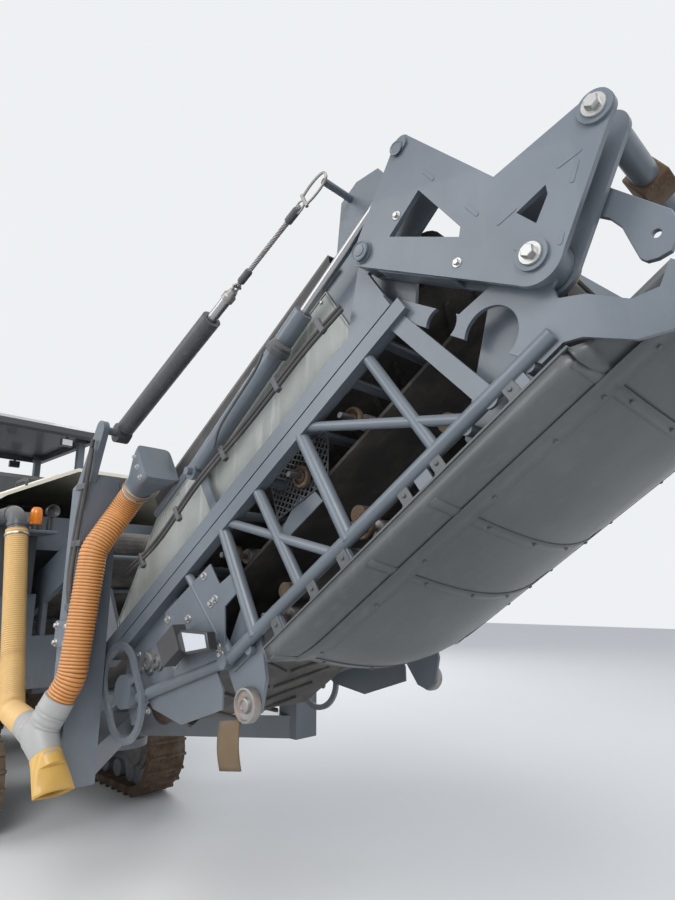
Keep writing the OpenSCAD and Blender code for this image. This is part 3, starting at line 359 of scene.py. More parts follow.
@dataclass(frozen=True)
class HoseSkin:
    """Ribbed hose: its own colour on the ridges, painted shade darkening the grooves, and dust."""

    name: str
    colour: Colour
    # Painted shade: the darker colour laid into the grooves.
    groove: Colour

    def build(self) -> Material:
        """The material: its colour follows the ridges, and painted shade darkens the grooves."""
        t = Tree(self.name)
        ridge = t.node("ShaderNodeAttribute", {"attribute_name": "ridge"}, {}, out="Fac")
        patch = t.noise(0.09, 4.0).step(0.35, 0.75)
        # Painted shade: the grooves take the groove colour, the ridges the hose's own colour.
        colour = t.mix(ridge.step(0.1, 0.62), self.groove, self.colour)
        colour = t.mix(patch * 0.35, colour, tuple(c * 0.72 for c in self.colour))
        colour = t.mix(t.facing_up() * 0.12, colour, (0.62, 0.5, 0.36))
        fine = t.noise(0.006, 3.0)
        return t.surface(colour, (0.42 + fine * 0.2).clamp(), 0.0, t.bump(fine, 0.0006, 0.3), 0.15)


@dataclass(frozen=True)
class RoofPaint:
    """Dark enamel on the fascia, pale grey on the top."""

    name: str
    side: Colour = (0.05, 0.054, 0.06)
    top: Colour = (0.36, 0.37, 0.38)

    def build(self) -> Material:
        """The material: the colour follows the way that the face points."""
        t = Tree(self.name)
        patch = t.noise(0.4, 4.0).step(0.35, 0.75)
        up = t.facing_up().step(0.55, 0.7)
        colour = t.mix(up, self.side, self.top)
        colour = t.mix(patch * up * 0.6, colour, DUST)
        fine = t.noise(0.01, 3.0)
        return t.surface(colour, (0.42 + fine * 0.2).clamp(), 0.0, t.bump(fine, 0.0006, 0.3), 0.1)


@dataclass(frozen=True)
class Moulded:
    """Lens glass, lamp plastic and other small moulded pieces."""

    name: str
    colour: Colour
    rough: float = 0.25
    through: float = 0.0

    def build(self) -> Material:
        """The material: smooth plastic with a faint grain."""
        t = Tree(self.name)
        fine = t.noise(0.01, 2.0)
        colour = t.mix(fine, tuple(c * 0.93 for c in self.colour), self.colour)
        plain = {"Transmission Weight": self.through, "IOR": 1.45}
        return t.surface(colour, (self.rough + (fine - 0.5) * 0.08).clamp(), 0.0,
                         t.bump(fine, 0.0003, 0.2), 0.3, plain)


class Finish(Enum):
    """Every finish on the machine."""

    FRAME = Enamel("frame_paint", (0.104, 0.124, 0.148), 0.4, 0.28)
    BOOM = Enamel("boom_paint", (0.102, 0.122, 0.146), 0.36, 0.14)
    DARK = Enamel("dark_paint", (0.05, 0.054, 0.06), 0.5, 0.35)
    HOOD = Enamel("hood_paint", (0.066, 0.073, 0.078), 0.46, 0.2)
    CREAM = Enamel("cream_paint", (0.86, 0.82, 0.68), 0.38, 0.12)
    ROOF = RoofPaint("roof_paint")
    STEEL = Steel("bare_steel", (0.34, 0.33, 0.32), 0.42, 0.55)
    ZINC = Steel("zinc_plate", (0.46, 0.46, 0.45), 0.36, 0.15)
    CHROME = Steel("chrome_rod", (0.34, 0.34, 0.35), 0.24, 0.1)
    WORN = RustySteel("worn_iron")
    RUBBER = Rubber("black_rubber")
    BELT = Rubber("belt_rubber", (0.045, 0.042, 0.04), 0.7, 0.9, 0.01)
    CANVAS = Canvas("canvas")
    VINYL = Rubber("seat_vinyl", (0.03, 0.031, 0.034), 0.5, 0.15, 0.003)
    STRAP = Rubber("brown_strap", (0.13, 0.085, 0.045), 0.75, 0.5, 0.008)
    ROPE = Steel("wire_rope", (0.3, 0.3, 0.3), 0.42, 0.5)
    BRASS = Steel("bronze_bush", (0.52, 0.36, 0.15), 0.38, 0.25)
    # Each hose's second colour is painted shade for its grooves.
    TAN = HoseSkin("tan_hose", (0.68, 0.43, 0.155), (0.44, 0.245, 0.075))
    ORANGE = HoseSkin("orange_hose", (0.6, 0.25, 0.06), (0.17, 0.06, 0.018))
    FLAP = Moulded("flap_yellow", (0.6, 0.36, 0.085), 0.55)
    AMBER = Moulded("lamp_amber", (0.95, 0.28, 0.02), 0.18, 0.3)
    LENS = Moulded("lamp_lens", (0.55, 0.57, 0.6), 0.12)
    BLACK = Moulded("black_plastic", (0.03, 0.03, 0.032), 0.4)
    TAPE = Rubber("silver_tape", (0.36, 0.36, 0.35), 0.42, 0.5, 0.02)

    def material(self) -> Material:
        """This finish's material, built once."""
        if self.value.name not in _made:
            _made[self.value.name] = self.value.build()
        return _made[self.value.name]


_made: Dict[str, Material] = {}


@dataclass(frozen=True)
class BoomAxes:
    """Where the folded conveyor lies."""

    slope: float = 34.0
    pivot: Pair = (3.957, 2.66)

    def at(self, s: float, y: float, n: float) -> Vector:
        """The point s along the boom and n off it, at y."""
        c, d = cos(radians(self.slope)), sin(radians(self.slope))
        return Vector((self.pivot[0] + s * c - n * d, y, self.pivot[1] + s * d + n * c))

    def matrix(self) -> Matrix:
        """From boom axes (s, y, n) to the frame's axes."""
        o, a, b = self.at(0, 0, 0), self.at(1, 0, 0), self.at(0, 0, 1)
        u, w = a - o, b - o
        return Matrix(((u.x, 0, w.x, o.x), (u.y, 1, w.y, o.y), (u.z, 0, w.z, o.z), (0, 0, 0, 1)))


BOOM = BoomAxes()
OFF_AXIS: Point = (0.31, 0.17, 0.93)  # a way that no axis on the machine takes


# ---- shapes

def curve_through(points: Points, steps: int = 8) -> List[Vector]:
    """Points of a smooth curve through the given ones.

    Args:
        points: The points that the curve passes.
        steps: Number of points in each span.

    Returns:
        The curve's points, ends included.
    """
    at = [Vector(p) for p in points]
    ends = [at[0] * 2 - at[1]] + at + [at[-1] * 2 - at[-2]]
    curve = []
    for a, b, c, d in zip(ends, ends[1:], ends[2:], ends[3:]):
        for i in range(steps):
            t = i / steps
            curve.append(0.5 * (2 * b + (c - a) * t + (2 * a - 5 * b + 4 * c - d) * t ** 2
                                + (3 * b - a - 3 * c + d) * t ** 3))
    return curve + [at[-1]]


def frames_along(points: Sequence[Vector]) -> List[Tuple[Vector, Vector, Vector]]:
    """Direction and two square-on directions at each point, without twist."""
    out = []
    side = None
    for i in range(len(points)):
        ahead = (points[min(i + 1, len(points) - 1)] - points[max(i - 1, 0)]).normalized()
        if side is None:
            side = ahead.cross(Vector((0.1, 0.2, 1.0))).normalized()
        side = (side - ahead * side.dot(ahead)).normalized()
        out.append((ahead, side, ahead.cross(side)))
    return out


class Shape:
    """A mesh in the making, in the frame's axes or in boom axes."""

    def __init__(self, on_boom: bool = False) -> None:
        """Start empty."""
        self.mesh = bmesh.new()
        self.on_boom = on_boom

    def _close(self, faces: Iterable[bmesh.types.BMFace]) -> "Shape":
        """Turn a closed form's faces outwards."""
        bmesh.ops.recalc_face_normals(self.mesh, faces=list(faces))
        return self

    def box(self, low: Sequence[float], high: Sequence[float]) -> "Shape":
        """A box between two corners, in either order along each axis."""
        v = [self.mesh.verts.new(p) for p in product(*(sorted(pair) for pair in zip(low, high)))]
        loops = ((0, 1, 3, 2), (4, 6, 7, 5), (0, 4, 5, 1), (2, 3, 7, 6), (0, 2, 6, 4), (1, 5, 7, 3))
        return self._close([self.mesh.faces.new([v[i] for i in loop]) for loop in loops])

    def turned(self, at: Sequence[float], way: Sequence[float], profile: Sequence[Pair],
               sides: int = 24) -> "Shape":
        """A turned form.

        Args:
            at: Where the axis starts.
            way: The axis's direction.
            profile: Radius and place along the axis, from one end to the other.
            sides: Number of sides.
        """
        axis = Vector(way).normalized()
        side = axis.cross(Vector(OFF_AXIS)).normalized()
        up = axis.cross(side)
        rings = []
        for radius, along in profile:
            centre = Vector(at) + axis * along
            if radius < 1e-6:
                rings.append([self.mesh.verts.new(centre)])
            else:
                rings.append([self.mesh.verts.new(centre + radius * (side * cos(a) + up * sin(a)))
                              for a in (2 * pi * k / sides for k in range(sides))])
        faces = []
        for a, b in zip(rings, rings[1:]):
            for k in range(sides):
                loop = [a[k % len(a)], a[(k + 1) % len(a)], b[(k + 1) % len(b)], b[k % len(b)]]
                loop = list(dict.fromkeys(loop))
                if len(loop) > 2:
                    faces.append(self.mesh.faces.new(loop))
        faces += [self.mesh.faces.new(ring) for ring in (rings[0], rings[-1]) if len(ring) > 2]
        return self._close(faces)

    def rod(self, a: Sequence[float], b: Sequence[float], d: float, sides: int = 24,
            edge: float = 0.0) -> "Shape":
        """A round bar from a to b with a small chamfer."""
        way = Vector(b) - Vector(a)
        length, r = way.length, d / 2
        if edge:
            return self.turned(a, way, [(r - edge, 0), (r, edge), (r, length - edge),
                                        (r - edge, length)], sides)
        return self.turned(a, way, [(r, 0), (r, length)], sides)

    def tube(self, points: Points, d: float, sides: int = 12) -> "Shape":
        """A round tube along points."""
        at = [Vector(p) for p in points]
        rings = [[self.mesh.verts.new(p + d / 2 * (u * cos(a) + v * sin(a)))
                  for a in (2 * pi * k / sides for k in range(sides))]
                 for p, (_, u, v) in zip(at, frames_along(at))]
        faces = [self.mesh.faces.new((a[k], a[(k + 1) % sides], b[(k + 1) % sides], b[k]))
                 for a, b in zip(rings, rings[1:]) for k in range(sides)]
        faces += [self.mesh.faces.new(rings[0]), self.mesh.faces.new(rings[-1])]
        return self._close(faces)

    def plate(self, outline: Points, y0: float, y1: float,
              holes: Points = ()) -> "Shape":
        """A flat plate square to Y.

        Args:
            outline: Its outline as (along, up) pairs.
            y0: One face, which may be on either side.
            y1: The other face.
            holes: Round holes as (along, up, radius).
        """
        y0, y1 = sorted((y0, y1))
        loops = [[(p[0], p[1]) for p in outline]]
        for x, z, r in holes:
            loops.append([(x + r * cos(a), z + r * sin(a))
                          for a in (2 * pi * k / 20 for k in range(20))])
        edges = []
        for loop in loops:
            v = [self.mesh.verts.new((x, y0, z)) for x, z in loop]
            edges += [self.mesh.edges.new((a, b)) for a, b in zip(v, v[1:] + v[:1])]
        filled = bmesh.ops.triangle_fill(self.mesh, use_beauty=True, edges=edges)
        faces = [g for g in filled["geom"] if isinstance(g, bmesh.types.BMFace)]
        made = bmesh.ops.extrude_face_region(self.mesh, geom=faces)["geom"]
        bmesh.ops.translate(self.mesh, vec=(0, y1 - y0, 0),
                            verts=[g for g in made if isinstance(g, bmesh.types.BMVert)])
        faces += [g for g in made if isinstance(g, bmesh.types.BMFace)]
        ring = {f for e in edges for f in e.link_faces}
        return self._close(set(faces) | ring)

    def grid(self, rows: Sequence[Points]) -> "Shape":
        """An open surface through rows of points."""
        v = [[self.mesh.verts.new(p) for p in row] for row in rows]
        for a, b in zip(v, v[1:]):
            for k in range(len(a) - 1):
                self.mesh.faces.new((a[k], a[k + 1], b[k + 1], b[k]))
        return self

    def piece(self, name: str, finish: "Finish", body: str = "", edge: float = 0.0, wall: float = 0.0,
              crease: float = 32.0, replaces: Sequence[str] = ()) -> Object:
        """Finish the mesh as a piece of the machine.

        Args:
            name: The piece's name.
            finish: Its finish.
            body: The body that it rides on, or none when the caller sees to it.
            edge: Width of the rounded edges.
            wall: Thickness given to an open surface, inwards.
            crease: Angle in degrees above which an edge stays sharp.
            replaces: Nodes of the frame that it stands for.

        Returns:
            The object.
        """
        if self.on_boom:
            self.mesh.transform(BOOM.matrix())
        for face in self.mesh.faces:
            face.smooth = True
        for line in self.mesh.edges:
            line.smooth = line.calc_face_angle(0.0) < radians(crease)
        data = bpy.data.meshes.new(name)
        self.mesh.to_mesh(data)
        self.mesh.free()
        made = shown(name, data)
        data.materials.append(finish.material())
        if wall:
            skin = made.modifiers.new("wall", "SOLIDIFY")
            skin.thickness, skin.offset = wall, -1.0
        if edge:
            bevel = made.modifiers.new("edges", "BEVEL")
            bevel.width, bevel.segments, bevel.limit_method = edge, 2, "ANGLE"
            bevel.angle_limit = radians(40)
        if body:
            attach(made, body)
        if replaces:
            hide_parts(*replaces)
        LOG.info("%s: %d faces", name, len(data.polygons))
        return made


# ---- what repeats

class Pattern(Graph):
    """A Geometry Nodes tree with named inputs that ends in one finished mesh."""

    def __init__(self, name: str, inputs: Dict[str, str]) -> None:
        """Start a tree whose inputs are the points' mesh, the given ones and a material."""
        super().__init__(bpy.data.node_groups.new(name, "GeometryNodeTree"))
        face = self.tree.interface
        for key, kind in {"Geometry": "NodeSocketGeometry", **inputs,
                          "Finish": "NodeSocketMaterial"}.items():
            face.new_socket(name=key, in_out="INPUT", socket_type=kind)
        face.new_socket(name="Geometry", in_out="OUTPUT", socket_type="NodeSocketGeometry")
        self.start = self.nodes.new("NodeGroupInput")

    def given(self, name: str) -> Wire:
        """An input of the tree."""
        return Wire(self, self.start.outputs[name])

    def attribute(self, name: str, kind: str = "FLOAT") -> Wire:
        """A named attribute of the points."""
        return self.node("GeometryNodeInputNamedAttribute", {"data_type": kind}, {"Name": name})

    def close(self, geometry: Wire) -> None:
        """End in Realize Instances and Set Material."""
        real = self.node("GeometryNodeRealizeInstances", {}, {"Geometry": geometry})
        dressed = self.node("GeometryNodeSetMaterial", {},
                            {"Geometry": real, "Material": self.given("Finish")})
        self.node("NodeGroupOutput", {}, {0: dressed})

    def run(self, base: Mesh, name: str, finish: "Finish", values: Dict[str, object],
            body: str = "") -> Object:
        """Run the tree on a mesh and keep the result as a plain piece.

        Args:
            base: Points or edges with their attributes.
            name: The piece's name.
            finish: Its finish.
            values: The tree's inputs by name.
            body: The body that it rides on, or none when the caller sees to it.

        Returns:
            The finished object, without a modifier.
        """
        carrier = shown(name + "_base", base)
        modifier = carrier.modifiers.new("pattern", "NODES")
        modifier.node_group = self.tree
        values = {**values, "Finish": finish.material()}
        for item in self.tree.interface.items_tree:
            if item.in_out == "INPUT" and item.name in values:
                modifier[item.identifier] = values[item.name]
        graph = bpy.context.evaluated_depsgraph_get()
        data = bpy.data.meshes.new_from_object(carrier.evaluated_get(graph))
        data.name = name
        bpy.data.objects.remove(carrier)
        bpy.data.meshes.remove(base)
        made = shown(name, data)
        if body:
            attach(made, body)
        LOG.info("%s: %d faces", name, len(data.polygons))
        return made


Place = Tuple[Sequence[float], Sequence[float], Sequence[float]]


class Spread:
    """One shape set at many places, each with its own upward and forward ways."""

    _tree: Optional[Pattern] = None

    @classmethod
    def tree(cls) -> Pattern:
        """The tree, built once."""
        if cls._tree is None:
            t = Pattern("set_at_places", {"Shape": "NodeSocketObject", "Size": "NodeSocketFloat"})
            turn = t.node("FunctionNodeAxesToRotation", {"primary_axis": "Z", "secondary_axis": "X"},
                          {0: t.attribute("up", "FLOAT_VECTOR"), 1: t.attribute("ahead", "FLOAT_VECTOR")})
            shape = t.node("GeometryNodeObjectInfo", {}, {"Object": t.given("Shape")}, out="Geometry")
            spread = t.node("GeometryNodeInstanceOnPoints", {},
                            {"Points": t.given("Geometry"), "Instance": shape, "Rotation": turn,
                             "Scale": t.given("Size")})
            t.close(spread)
            cls._tree = t
        return cls._tree

    @classmethod
    def make(cls, name: str, shape: Object, places: Sequence[Place], finish: "Finish",
             body: str, size: float = 1.0, on_boom: bool = False) -> Object:
        """Set shape at places.

        Args:
            name: The piece's name.
            shape: An object whose mesh is repeated.
            places: For each copy its point, its upward way and its forward way.
            finish: The finish of all copies.
            body: The body that they ride on.
            size: One scale for all of them.
            on_boom: Whether the places are in boom axes.

        Returns:
            The finished piece.
        """
        matrix = BOOM.matrix() if on_boom else Matrix.Identity(4)
        turn = matrix.to_3x3()
        base = bpy.data.meshes.new(name)
        base.from_pydata([matrix @ Vector(p[0]) for p in places], [], [])
        for key, column in (("up", 1), ("ahead", 2)):
            layer = base.attributes.new(key, "FLOAT_VECTOR", "POINT")
            layer.data.foreach_set("vector",
                                   [c for p in places for c in turn @ Vector(p[column]).normalized()])
        return cls.tree().run(base, name, finish, {"Shape": shape, "Size": size}, body)


class Piping:
    """Round pipes, wires and ribbed hoses along chains of edges."""

    _plain: Optional[Pattern] = None
    _ribbed: Optional[Pattern] = None

    @staticmethod
    def _chains(name: str, chains: Sequence[Points], on_boom: bool) -> Mesh:
        """A mesh of edge chains."""
        matrix = BOOM.matrix() if on_boom else Matrix.Identity(4)
        points, edges = [], []
        for chain in chains:
            edges += [(len(points) + k, len(points) + k + 1) for k in range(len(chain) - 1)]
            points += [matrix @ Vector(p) for p in chain]
        base = bpy.data.meshes.new(name)
        base.from_pydata(points, edges, [])
        return base

    @classmethod
    def plain(cls, name: str, chains: Sequence[Points], d: float, finish: "Finish",
              body: str = "", sides: int = 8, on_boom: bool = False) -> Object:
        """Round pipes or wires of diameter d along chains of points."""
        if cls._plain is None:
            t = Pattern("round_wires", {"Diameter": "NodeSocketFloat", "Sides": "NodeSocketInt"})
            path = t.node("GeometryNodeMeshToCurve", {}, {"Mesh": t.given("Geometry")})
            ring = t.node("GeometryNodeCurvePrimitiveCircle", {"mode": "RADIUS"},
                          {"Resolution": t.given("Sides"), "Radius": t.given("Diameter") * 0.5})
            t.close(t.node("GeometryNodeCurveToMesh", {}, {"Curve": path, "Profile Curve": ring,
                                                           "Fill Caps": True}))
            cls._plain = t
        made = cls._plain.run(cls._chains(name, chains, on_boom), name, finish,
                              {"Diameter": d, "Sides": sides}, body)
        for face in made.data.polygons:
            face.use_smooth = True
        return made

    @classmethod
    def ribbed(cls, name: str, route: Points, d: float, pitch: float, depth: float,
               finish: "Finish", sides: int = 36) -> Object:
        """A ribbed hose: its radius swells once in each pitch along the route."""
        if cls._ribbed is None:
            t = Pattern("ribbed_hose", {"Diameter": "NodeSocketFloat", "Pitch": "NodeSocketFloat",
                                        "Depth": "NodeSocketFloat", "Sides": "NodeSocketInt"})
            path = t.node("GeometryNodeMeshToCurve", {}, {"Mesh": t.given("Geometry")})
            fine = t.node("GeometryNodeResampleCurve", {"mode": "LENGTH"},
                          {"Curve": path, "Length": t.given("Pitch") * (1.0 / 6.0)})
            along = t.node("GeometryNodeSplineParameter", {}, {}, out="Length")
            wave = t.math("COSINE", along * (2 * pi) / t.given("Pitch"))
            ridge = (wave * 0.5 + 0.5) ** 0.7
            # The ridge is kept for the hose material, which paints shade into the grooves with it.
            kept = t.node("GeometryNodeStoreNamedAttribute", {"data_type": "FLOAT", "domain": "POINT"},
                          {"Geometry": fine, "Name": "ridge", "Value": ridge})
            ring = t.node("GeometryNodeCurvePrimitiveCircle", {"mode": "RADIUS"},
                          {"Resolution": t.given("Sides"), "Radius": t.given("Diameter") * 0.5})
            narrow = t.given("Depth") * 2.0 / t.given("Diameter")
            t.close(t.node("GeometryNodeCurveToMesh", {},
                           {"Curve": kept, "Profile Curve": ring, "Scale": 1 - narrow * (1 - ridge),
                            "Fill Caps": True}))
            cls._ribbed = t
        made = cls._ribbed.run(cls._chains(name, [route], False), name, finish,
                               {"Diameter": d, "Pitch": pitch, "Depth": depth, "Sides": sides})
        for face in made.data.polygons:
            face.use_smooth = True
        return made


class Fixings:
    """Small hardware that is set at many places."""

    _kept: Dict[str, Object] = {}

    @classmethod
    def _keep(cls, name: str, shape: Shape) -> None:
        """Hold a small shape outside the scene, as the pattern for its copies."""
        data = bpy.data.meshes.new(name)
        for face in shape.mesh.faces:
            face.smooth = len(face.verts) == 4 and abs(face.normal.z) < 0.9
        for line in shape.mesh.edges:
            line.smooth = line.calc_face_angle(0.0) < radians(40)
        shape.mesh.to_mesh(data)
        shape.mesh.free()
        cls._kept[name] = bpy.data.objects.new(name, data)

    @classmethod
    def _turned(cls, name: str, *parts: Tuple[float, Sequence[Pair], int]) -> Object:
        """A fixing of turned parts, each its foot's height, its profile and its number of sides."""
        if name not in cls._kept:
            shape = Shape()
            for foot, profile, sides in parts:
                shape.turned((0, 0, foot), (0, 0, 1), profile, sides)
            cls._keep(name, shape)
        return cls._kept[name]

    @classmethod
    def _prism(cls, name: str, section: Sequence[Pair]) -> Object:
        """A bar along X, one metre long before it is sized, with a section of (across, up) pairs."""
        if name not in cls._kept:
            shape = Shape()
            ends = [[shape.mesh.verts.new((x, y, z)) for y, z in section] for x in (-0.5, 0.5)]
            faces = [shape.mesh.faces.new(end) for end in ends]
            (a, b), count = ends, len(section)
            faces += [shape.mesh.faces.new((a[k], a[(k + 1) % count], b[(k + 1) % count], b[k]))
                      for k in range(count)]
            bmesh.ops.recalc_face_normals(shape.mesh, faces=faces)
            cls._keep(name, shape)
        return cls._kept[name]

    @classmethod
    def hex_bolt(cls) -> Object:
        """A hexagon head on a washer, one metre across flats before it is sized."""
        return cls._turned("hex_bolt", (-0.2, [(0.95, 0), (0.95, 0.3), (0.9, 0.36)], 20),
                           (0.1, [(0.58, 0), (0.58, 0.52), (0.5, 0.62)], 6))

    @classmethod
    def bolts(cls, name: str, places: Sequence["Place"], body: str, size: float,
              on_boom: bool = True) -> None:
        """Zinc-plated hexagon bolts of one size at places."""
        Spread.make(name, cls.hex_bolt(), places, Finish.ZINC, body, size, on_boom)

    @classmethod
    def dome(cls) -> Object:
        """A round button head, one metre wide before it is sized."""
        return cls._turned("dome", (-0.1, [(0.5, 0), (0.5, 0.14), (0.42, 0.3), (0.25, 0.38), (0, 0.4)], 14))

    @classmethod
    def louvre(cls) -> Object:
        """A pressed louvre."""
        return cls._prism("louvre", ((0.0, -0.02), (0.19, -0.02), (0.19, 0.0), (0.03, 0.075), (0.0, 0.075)))

    @classmethod
    def lozenge(cls) -> Object:
        """A raised lozenge of tread plate."""
        return cls._prism("lozenge", ((-0.16, -0.01), (0.16, -0.01), (0.09, 0.055), (-0.09, 0.055)))

    @classmethod
    def cleat(cls) -> Object:
        """A belt cleat."""
        return cls._prism("cleat", ((-0.045, -0.005), (0.045, -0.005), (0.028, 0.042), (-0.028, 0.042)))


# ---- stage

@dataclass
class PhotoCamera:
    """The camera that took the photograph, found from the machine's edges."""

    at: Point = (5.25, -2.076, 1.487)
    forward: Point = (-0.6799, 0.696, 0.231)
    upward: Point = (0.1614, -0.1652, 0.973)
    focal_px: float = 615.0
    height_px: float = 900.0

    def build(self) -> None:
        """Make the camera and hand it to the scene."""
        data = bpy.data.cameras.new("photo_camera")
        data.sensor_fit = "VERTICAL"
        data.sensor_height = 36.0
        data.lens = self.focal_px / self.height_px * 36.0
        data.clip_end = 200.0
        camera = shown("photo_camera", data)
        f, u = Vector(self.forward).normalized(), Vector(self.upward).normalized()
        r = f.cross(u).normalized()
        u = r.cross(f)
        camera.matrix_world = Matrix(((r.x, u.x, -f.x, self.at[0]), (r.y, u.y, -f.y, self.at[1]),
                                      (r.z, u.z, -f.z, self.at[2]), (0, 0, 0, 1)))
        bpy.context.scene.camera = camera


@dataclass
class Studio:
    """A pale floor, a soft sky and soft lamps."""

    floor_size: float = 60.0
    floor_colour: Colour = (0.8, 0.8, 0.79)

    def build(self) -> None:
        """Make the floor, the world and the lamps."""
        bpy.context.scene.view_settings.view_transform = "Standard"
        self._floor()
        self._world()
        self._lamp("key", (9.0, -7.0, 9.0), 900.0, 6.0)
        self._lamp("fill", (-2.0, -9.0, 6.0), 500.0, 7.0)
        self._lamp("back", (-8.0, 7.0, 7.0), 500.0, 7.0)

    def _floor(self) -> None:
        """The floor's sheet."""
        mesh = bpy.data.meshes.new("floor")
        h = self.floor_size / 2
        mesh.from_pydata([(-h, -h, 0), (h, -h, 0), (h, h, 0), (-h, h, 0)], [], [(0, 1, 2, 3)])
        floor = shown("floor", mesh)
        t = Tree("floor")
        grain = t.noise(1.2, 4.0)
        colour = t.mix(grain, tuple(c * 0.96 for c in self.floor_colour), self.floor_colour)
        mesh.materials.append(t.surface(colour, 0.85))

    def _world(self) -> None:
        """An even pale sky that is white where the camera, gloss or glass sees it."""
        world = bpy.data.worlds.new("sky")
        world.use_nodes = True
        bpy.context.scene.world = world
        t = Graph(world.node_tree)
        lit = t.node("ShaderNodeBackground", {}, {"Color": (0.86, 0.91, 1.0, 1.0), "Strength": 0.62})
        seen = t.node("ShaderNodeBackground", {}, {"Color": (0.9, 0.92, 0.94, 1.0), "Strength": 0.95})
        camera, gloss, glass = (t.node("ShaderNodeLightPath", {}, {}, out=f"Is {ray} Ray")
                                for ray in ("Camera", "Glossy", "Transmission"))
        seen_by = t.math("MAXIMUM", t.math("MAXIMUM", camera, gloss), glass)
        t.node("ShaderNodeOutputWorld", {},
               {"Surface": t.node("ShaderNodeMixShader", {}, {0: seen_by, 1: lit, 2: seen})})

    @staticmethod
    def _lamp(name: str, at: Point, power: float, size: float) -> None:
        """A square area lamp that looks at the machine."""
        data = bpy.data.lights.new(name, "AREA")
        data.energy, data.size = power, size
        lamp = shown(name, data)
        lamp.location = at
        lamp.rotation_euler = (Vector((0.5, 0, 1.2)) - Vector(at)).to_track_quat("-Z", "Y").to_euler()


# ---- front conveyor

@dataclass
class DustHood:
    """The sheet-metal hood under the folded front conveyor."""

    low: float = -1.19
    seam: float = 0.26
    high: float = 0.56
    edge_n: float = -0.835
    half: Pair = (0.6, 0.556)
    lip: Pair = (-0.885, -0.856)
    knee: Pair = (0.47, -0.92)
    middle_n: float = -1.007
    tabs: Tuple[float, ...] = (0.074, -0.232, -0.382, -0.701, -0.877, -1.1)
    skin: float = 0.006
    body: str = FRONT

    def section(self, s: float, out: float = 0.0) -> List[Pair]:
        """The skin's (y, n) points from the right edge to the left at s, moved out by a little."""
        tail = s > self.seam
        half, lip = self.half[tail] + out, self.lip[tail]
        rise = 0.05 * max(0.0, (self.low + 0.2 - s) / 0.2) ** 2
        right = [(half, self.edge_n), (half, lip),
                 (self.knee[0] + 0.3 * out, self.knee[1] - out + rise * 0.6)]
        for k in range(1, 9):
            t = k / 8
            y = self.knee[0] * (1 - t)
            n = (self.knee[1] + (self.middle_n - self.knee[1]) * (1 - (1 - t) ** 1.9)) - out + rise
            right.append((y, n))
        return [(-y, n) for y, n in right] + [(y, n) for y, n in reversed(right[:-1])]

    def normal_at(self, s: float, y: float) -> Tuple[float, Vector]:
        """The skin's n at y, and the way out of it."""
        points = sorted(self.section(s)[2:-2])
        for (y0, n0), (y1, n1) in zip(points, points[1:]):
            if y0 <= y <= y1:
                t = (y - y0) / (y1 - y0)
                return n0 + (n1 - n0) * t, Vector((0, n1 - n0, -(y1 - y0))).normalized()
        return points[0][1], Vector((0, 0, -1))

    def skin_part(self, s0: float, s1: float, out: float) -> Shape:
        """The skin from s0 to s1."""
        count = max(2, round((s1 - s0) / 0.04))
        shape = Shape(True)
        shape.grid([[(s, y, n) for y, n in self.section(s, out)]
                    for s in (s0 + (s1 - s0) * k / count for k in range(count + 1))])
        return shape

    def build(self) -> None:
        """The skin, its straps, edge rolls and bolts."""
        main = self.skin_part(self.low, self.seam + 0.012, 0.0)
        tail = self.skin_part(self.seam - 0.004, self.high, -0.003)
        for shape, name, nodes in ((main, "dust_hood_skin", ("dust_hood",)), (tail, "dust_hood_tail", ())):
            shape.piece(name, Finish.HOOD, self.body, wall=self.skin, crease=12, replaces=nodes)
        self._straps()
        self._edges()
        self._bolts()

    def _straps(self) -> None:
        """Thin straps over the cross seams and along the knees."""
        straps = Shape(True)
        for s0, s1 in ((-1.186, -1.15), (-0.625, -0.588), (-0.325, -0.288), (0.232, 0.272), (0.522, 0.558)):
            straps.grid([[(s, y, n) for y, n in self.section(s, 0.0035)[1:-1]] for s in (s0, s1)])
        for side in (-1, 1):
            rows = []
            for k in range(45):
                s = self.low + 0.004 + (self.high - self.low - 0.008) * k / 44
                n0, _ = self.normal_at(s, side * 0.43)
                rise = self.section(s)[2][1]
                rows.append([(s, side * 0.5, rise + 0.004), (s, side * 0.47, rise - 0.005),
                             (s, side * 0.43, n0 - 0.004)][::side])
            straps.grid(rows)
        straps.piece("dust_hood_straps", Finish.HOOD, self.body, wall=0.003, crease=12)

    def _edges(self) -> None:
        """Turned edges: a flat flange on top and a rolled lip at the low end."""
        shape = Shape(True)
        for side in (-1, 1):
            shape.box((self.low, side * 0.556, self.edge_n - 0.002),
                      (self.seam, side * 0.604, self.edge_n + 0.006))
            for s in self.tabs:
                shape.box((s - 0.022, side * 0.56, self.edge_n + 0.006),
                          (s + 0.022, side * 0.598, self.edge_n + 0.014))
                shape.box((s - 0.022, side * 0.582, self.edge_n + 0.01), (s + 0.022, side * 0.59, -0.756))
        shape.piece("dust_hood_edges", Finish.HOOD, self.body, edge=0.0015)
        low = [(self.low - 0.004, y, n + 0.004) for y, n in self.section(self.low)]
        Piping.plain("dust_hood_lip", [low], 0.012, Finish.HOOD, self.body, 8, True)

    def _bolts(self) -> None:
        """Button heads along the seams and knees, and bolts on the tabs."""
        heads: List[Place] = []
        for s in (-1.168, -0.606, -0.306, 0.252, 0.54):
            for y in (-0.36, -0.12, 0.12, 0.36):
                n, out = self.normal_at(s, y)
                heads.append(((s, y, n - 0.0075), out, (1, 0, 0)))
        for side in (-1, 1):
            for s in (-1.08, -0.77, -0.52, -0.2, 0.045, 0.219, 0.4):
                n, out = self.normal_at(s, side * 0.445)
                heads.append(((s, side * 0.445, n - 0.0075), out, (1, 0, 0)))
            heads += outward([(s, side * 0.592, -0.795) for s in self.tabs])
        Spread.make("dust_hood_bolts", Fixings.dome(), heads, Finish.HOOD, self.body, 0.015, True)


# ---- suction hoses

